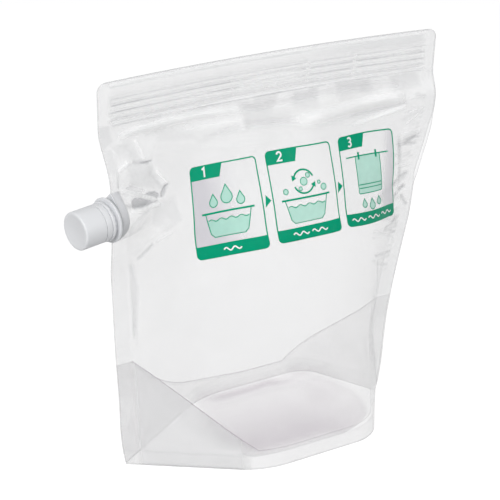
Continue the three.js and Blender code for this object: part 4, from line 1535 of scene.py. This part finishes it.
# Stage, light and camera: angles in degrees, the rest in metres
FLOOR_REACH = 6.0
FLOOR_GREY = (0.42, 0.42, 0.42, 1)
FLOOR_ROUGHNESS = (0.85, 0.95)
FLOOR_GLOW = 0.79
ROOM_LIGHT = 0.36
WHITE = (1, 1, 1, 1)
SOFTBOXES = (  # azimuth, elevation, distance, width, height, power in watts
    ("key_light", -62, 33, 1.7, 1.0, 1.0, 15),
    ("fill_light", 15, 25, 2.2, 1.4, 1.4, 16.5),
    ("top_light", 150, 70, 1.8, 1.0, 0.6, 2),
)
CAMERA_AZIMUTH = -29.30
CAMERA_ELEVATION = 28.02
CAMERA_ROLL = 1.63
CAMERA_TARGET = Vector((-3.19, 0, 195.5)) * MM
CAMERA_DISTANCE = 1262.9 * MM
CAMERA_LENS = 100.98
CAMERA_SENSOR = 36.0


def seen_directly(tree):
    """1 where the camera sees it, also mirrored or through the film, and 0 where it only gives light."""
    path = add(tree, "ShaderNodeLightPath")
    seen = math_node(tree, "MAXIMUM", path.outputs["Is Camera Ray"], path.outputs["Is Glossy Ray"])
    return math_node(tree, "MAXIMUM", seen, path.outputs["Is Transmission Ray"])


def white_floor():
    r = FLOOR_REACH
    mesh = bpy.data.meshes.new("floor")
    mesh.from_pydata([(-r, -r, 0), (r, -r, 0), (r, r, 0), (-r, r, 0)], [], [(0, 1, 2, 3)])
    material, tree, shader = new_material("floor_white")
    grain = add(tree, "ShaderNodeTexNoise", {"Scale": 3.0}).outputs["Fac"]
    plug(tree, shader, {
        "Base Color": FLOOR_GREY,
        "Roughness": ranged(tree, grain, *FLOOR_ROUGHNESS),
        "Specular IOR Level": 0.0,
        "Emission Color": WHITE,
        "Emission Strength": math_node(tree, "MULTIPLY", seen_directly(tree), FLOOR_GLOW),
    })
    show("floor", mesh, material)


def studio_world():
    world = bpy.data.worlds.new("studio")
    bpy.context.scene.world = world
    world.use_nodes = True
    tree = world.node_tree
    tree.nodes.clear()
    seen = seen_directly(tree)
    room = add(tree, "ShaderNodeBackground", {"Color": WHITE, "Strength": ROOM_LIGHT})
    white = add(tree, "ShaderNodeBackground", {"Color": WHITE, "Strength": 1.0})
    either = add(tree, "ShaderNodeMixShader", {0: seen, 1: room.outputs[0], 2: white.outputs[0]})
    add(tree, "ShaderNodeOutputWorld", {0: either.outputs[0]})


def direction(azimuth, elevation):
    """From the pouch towards a light or the camera."""
    a = math.radians(azimuth)
    e = math.radians(elevation)
    return Vector((math.sin(a) * math.cos(e), -math.cos(a) * math.cos(e), math.sin(e)))


def softbox(name, azimuth, elevation, distance, width, height, power):
    lamp = bpy.data.lights.new(name, "AREA")
    lamp.shape = "RECTANGLE"
    lamp.size = width
    lamp.size_y = height
    lamp.energy = power
    box = new_object(name, lamp)
    away = direction(azimuth, elevation)
    box.location = away * distance + Vector((0, 0, PANEL_HEIGHT / 2 * MM))
    box.rotation_euler = away.to_track_quat("Z", "Y").to_euler()
    box.visible_camera = False


def photo_camera():
    azimuth = math.radians(CAMERA_AZIMUTH)
    roll = math.radians(CAMERA_ROLL)
    back = direction(CAMERA_AZIMUTH, CAMERA_ELEVATION)
    level = Vector((math.cos(azimuth), math.sin(azimuth), 0))
    upright = back.cross(level)
    right = level * math.cos(roll) + upright * math.sin(roll)
    up = upright * math.cos(roll) - level * math.sin(roll)
    data = bpy.data.cameras.new("photo_camera")
    data.lens = CAMERA_LENS
    data.sensor_width = CAMERA_SENSOR
    data.sensor_fit = "HORIZONTAL"
    camera = new_object("photo_camera", data)
    turn = Matrix((right, up, back)).transposed().to_4x4()
    turn.translation = CAMERA_TARGET + back * CAMERA_DISTANCE
    camera.matrix_world = turn
    bpy.context.scene.camera = camera


white_floor()
studio_world()
for box in SOFTBOXES:
    softbox(*box)
photo_camera()
bpy.context.scene.view_settings.view_transform = "Standard"
bpy.context.scene.cycles.transparent_max_bounces = 48
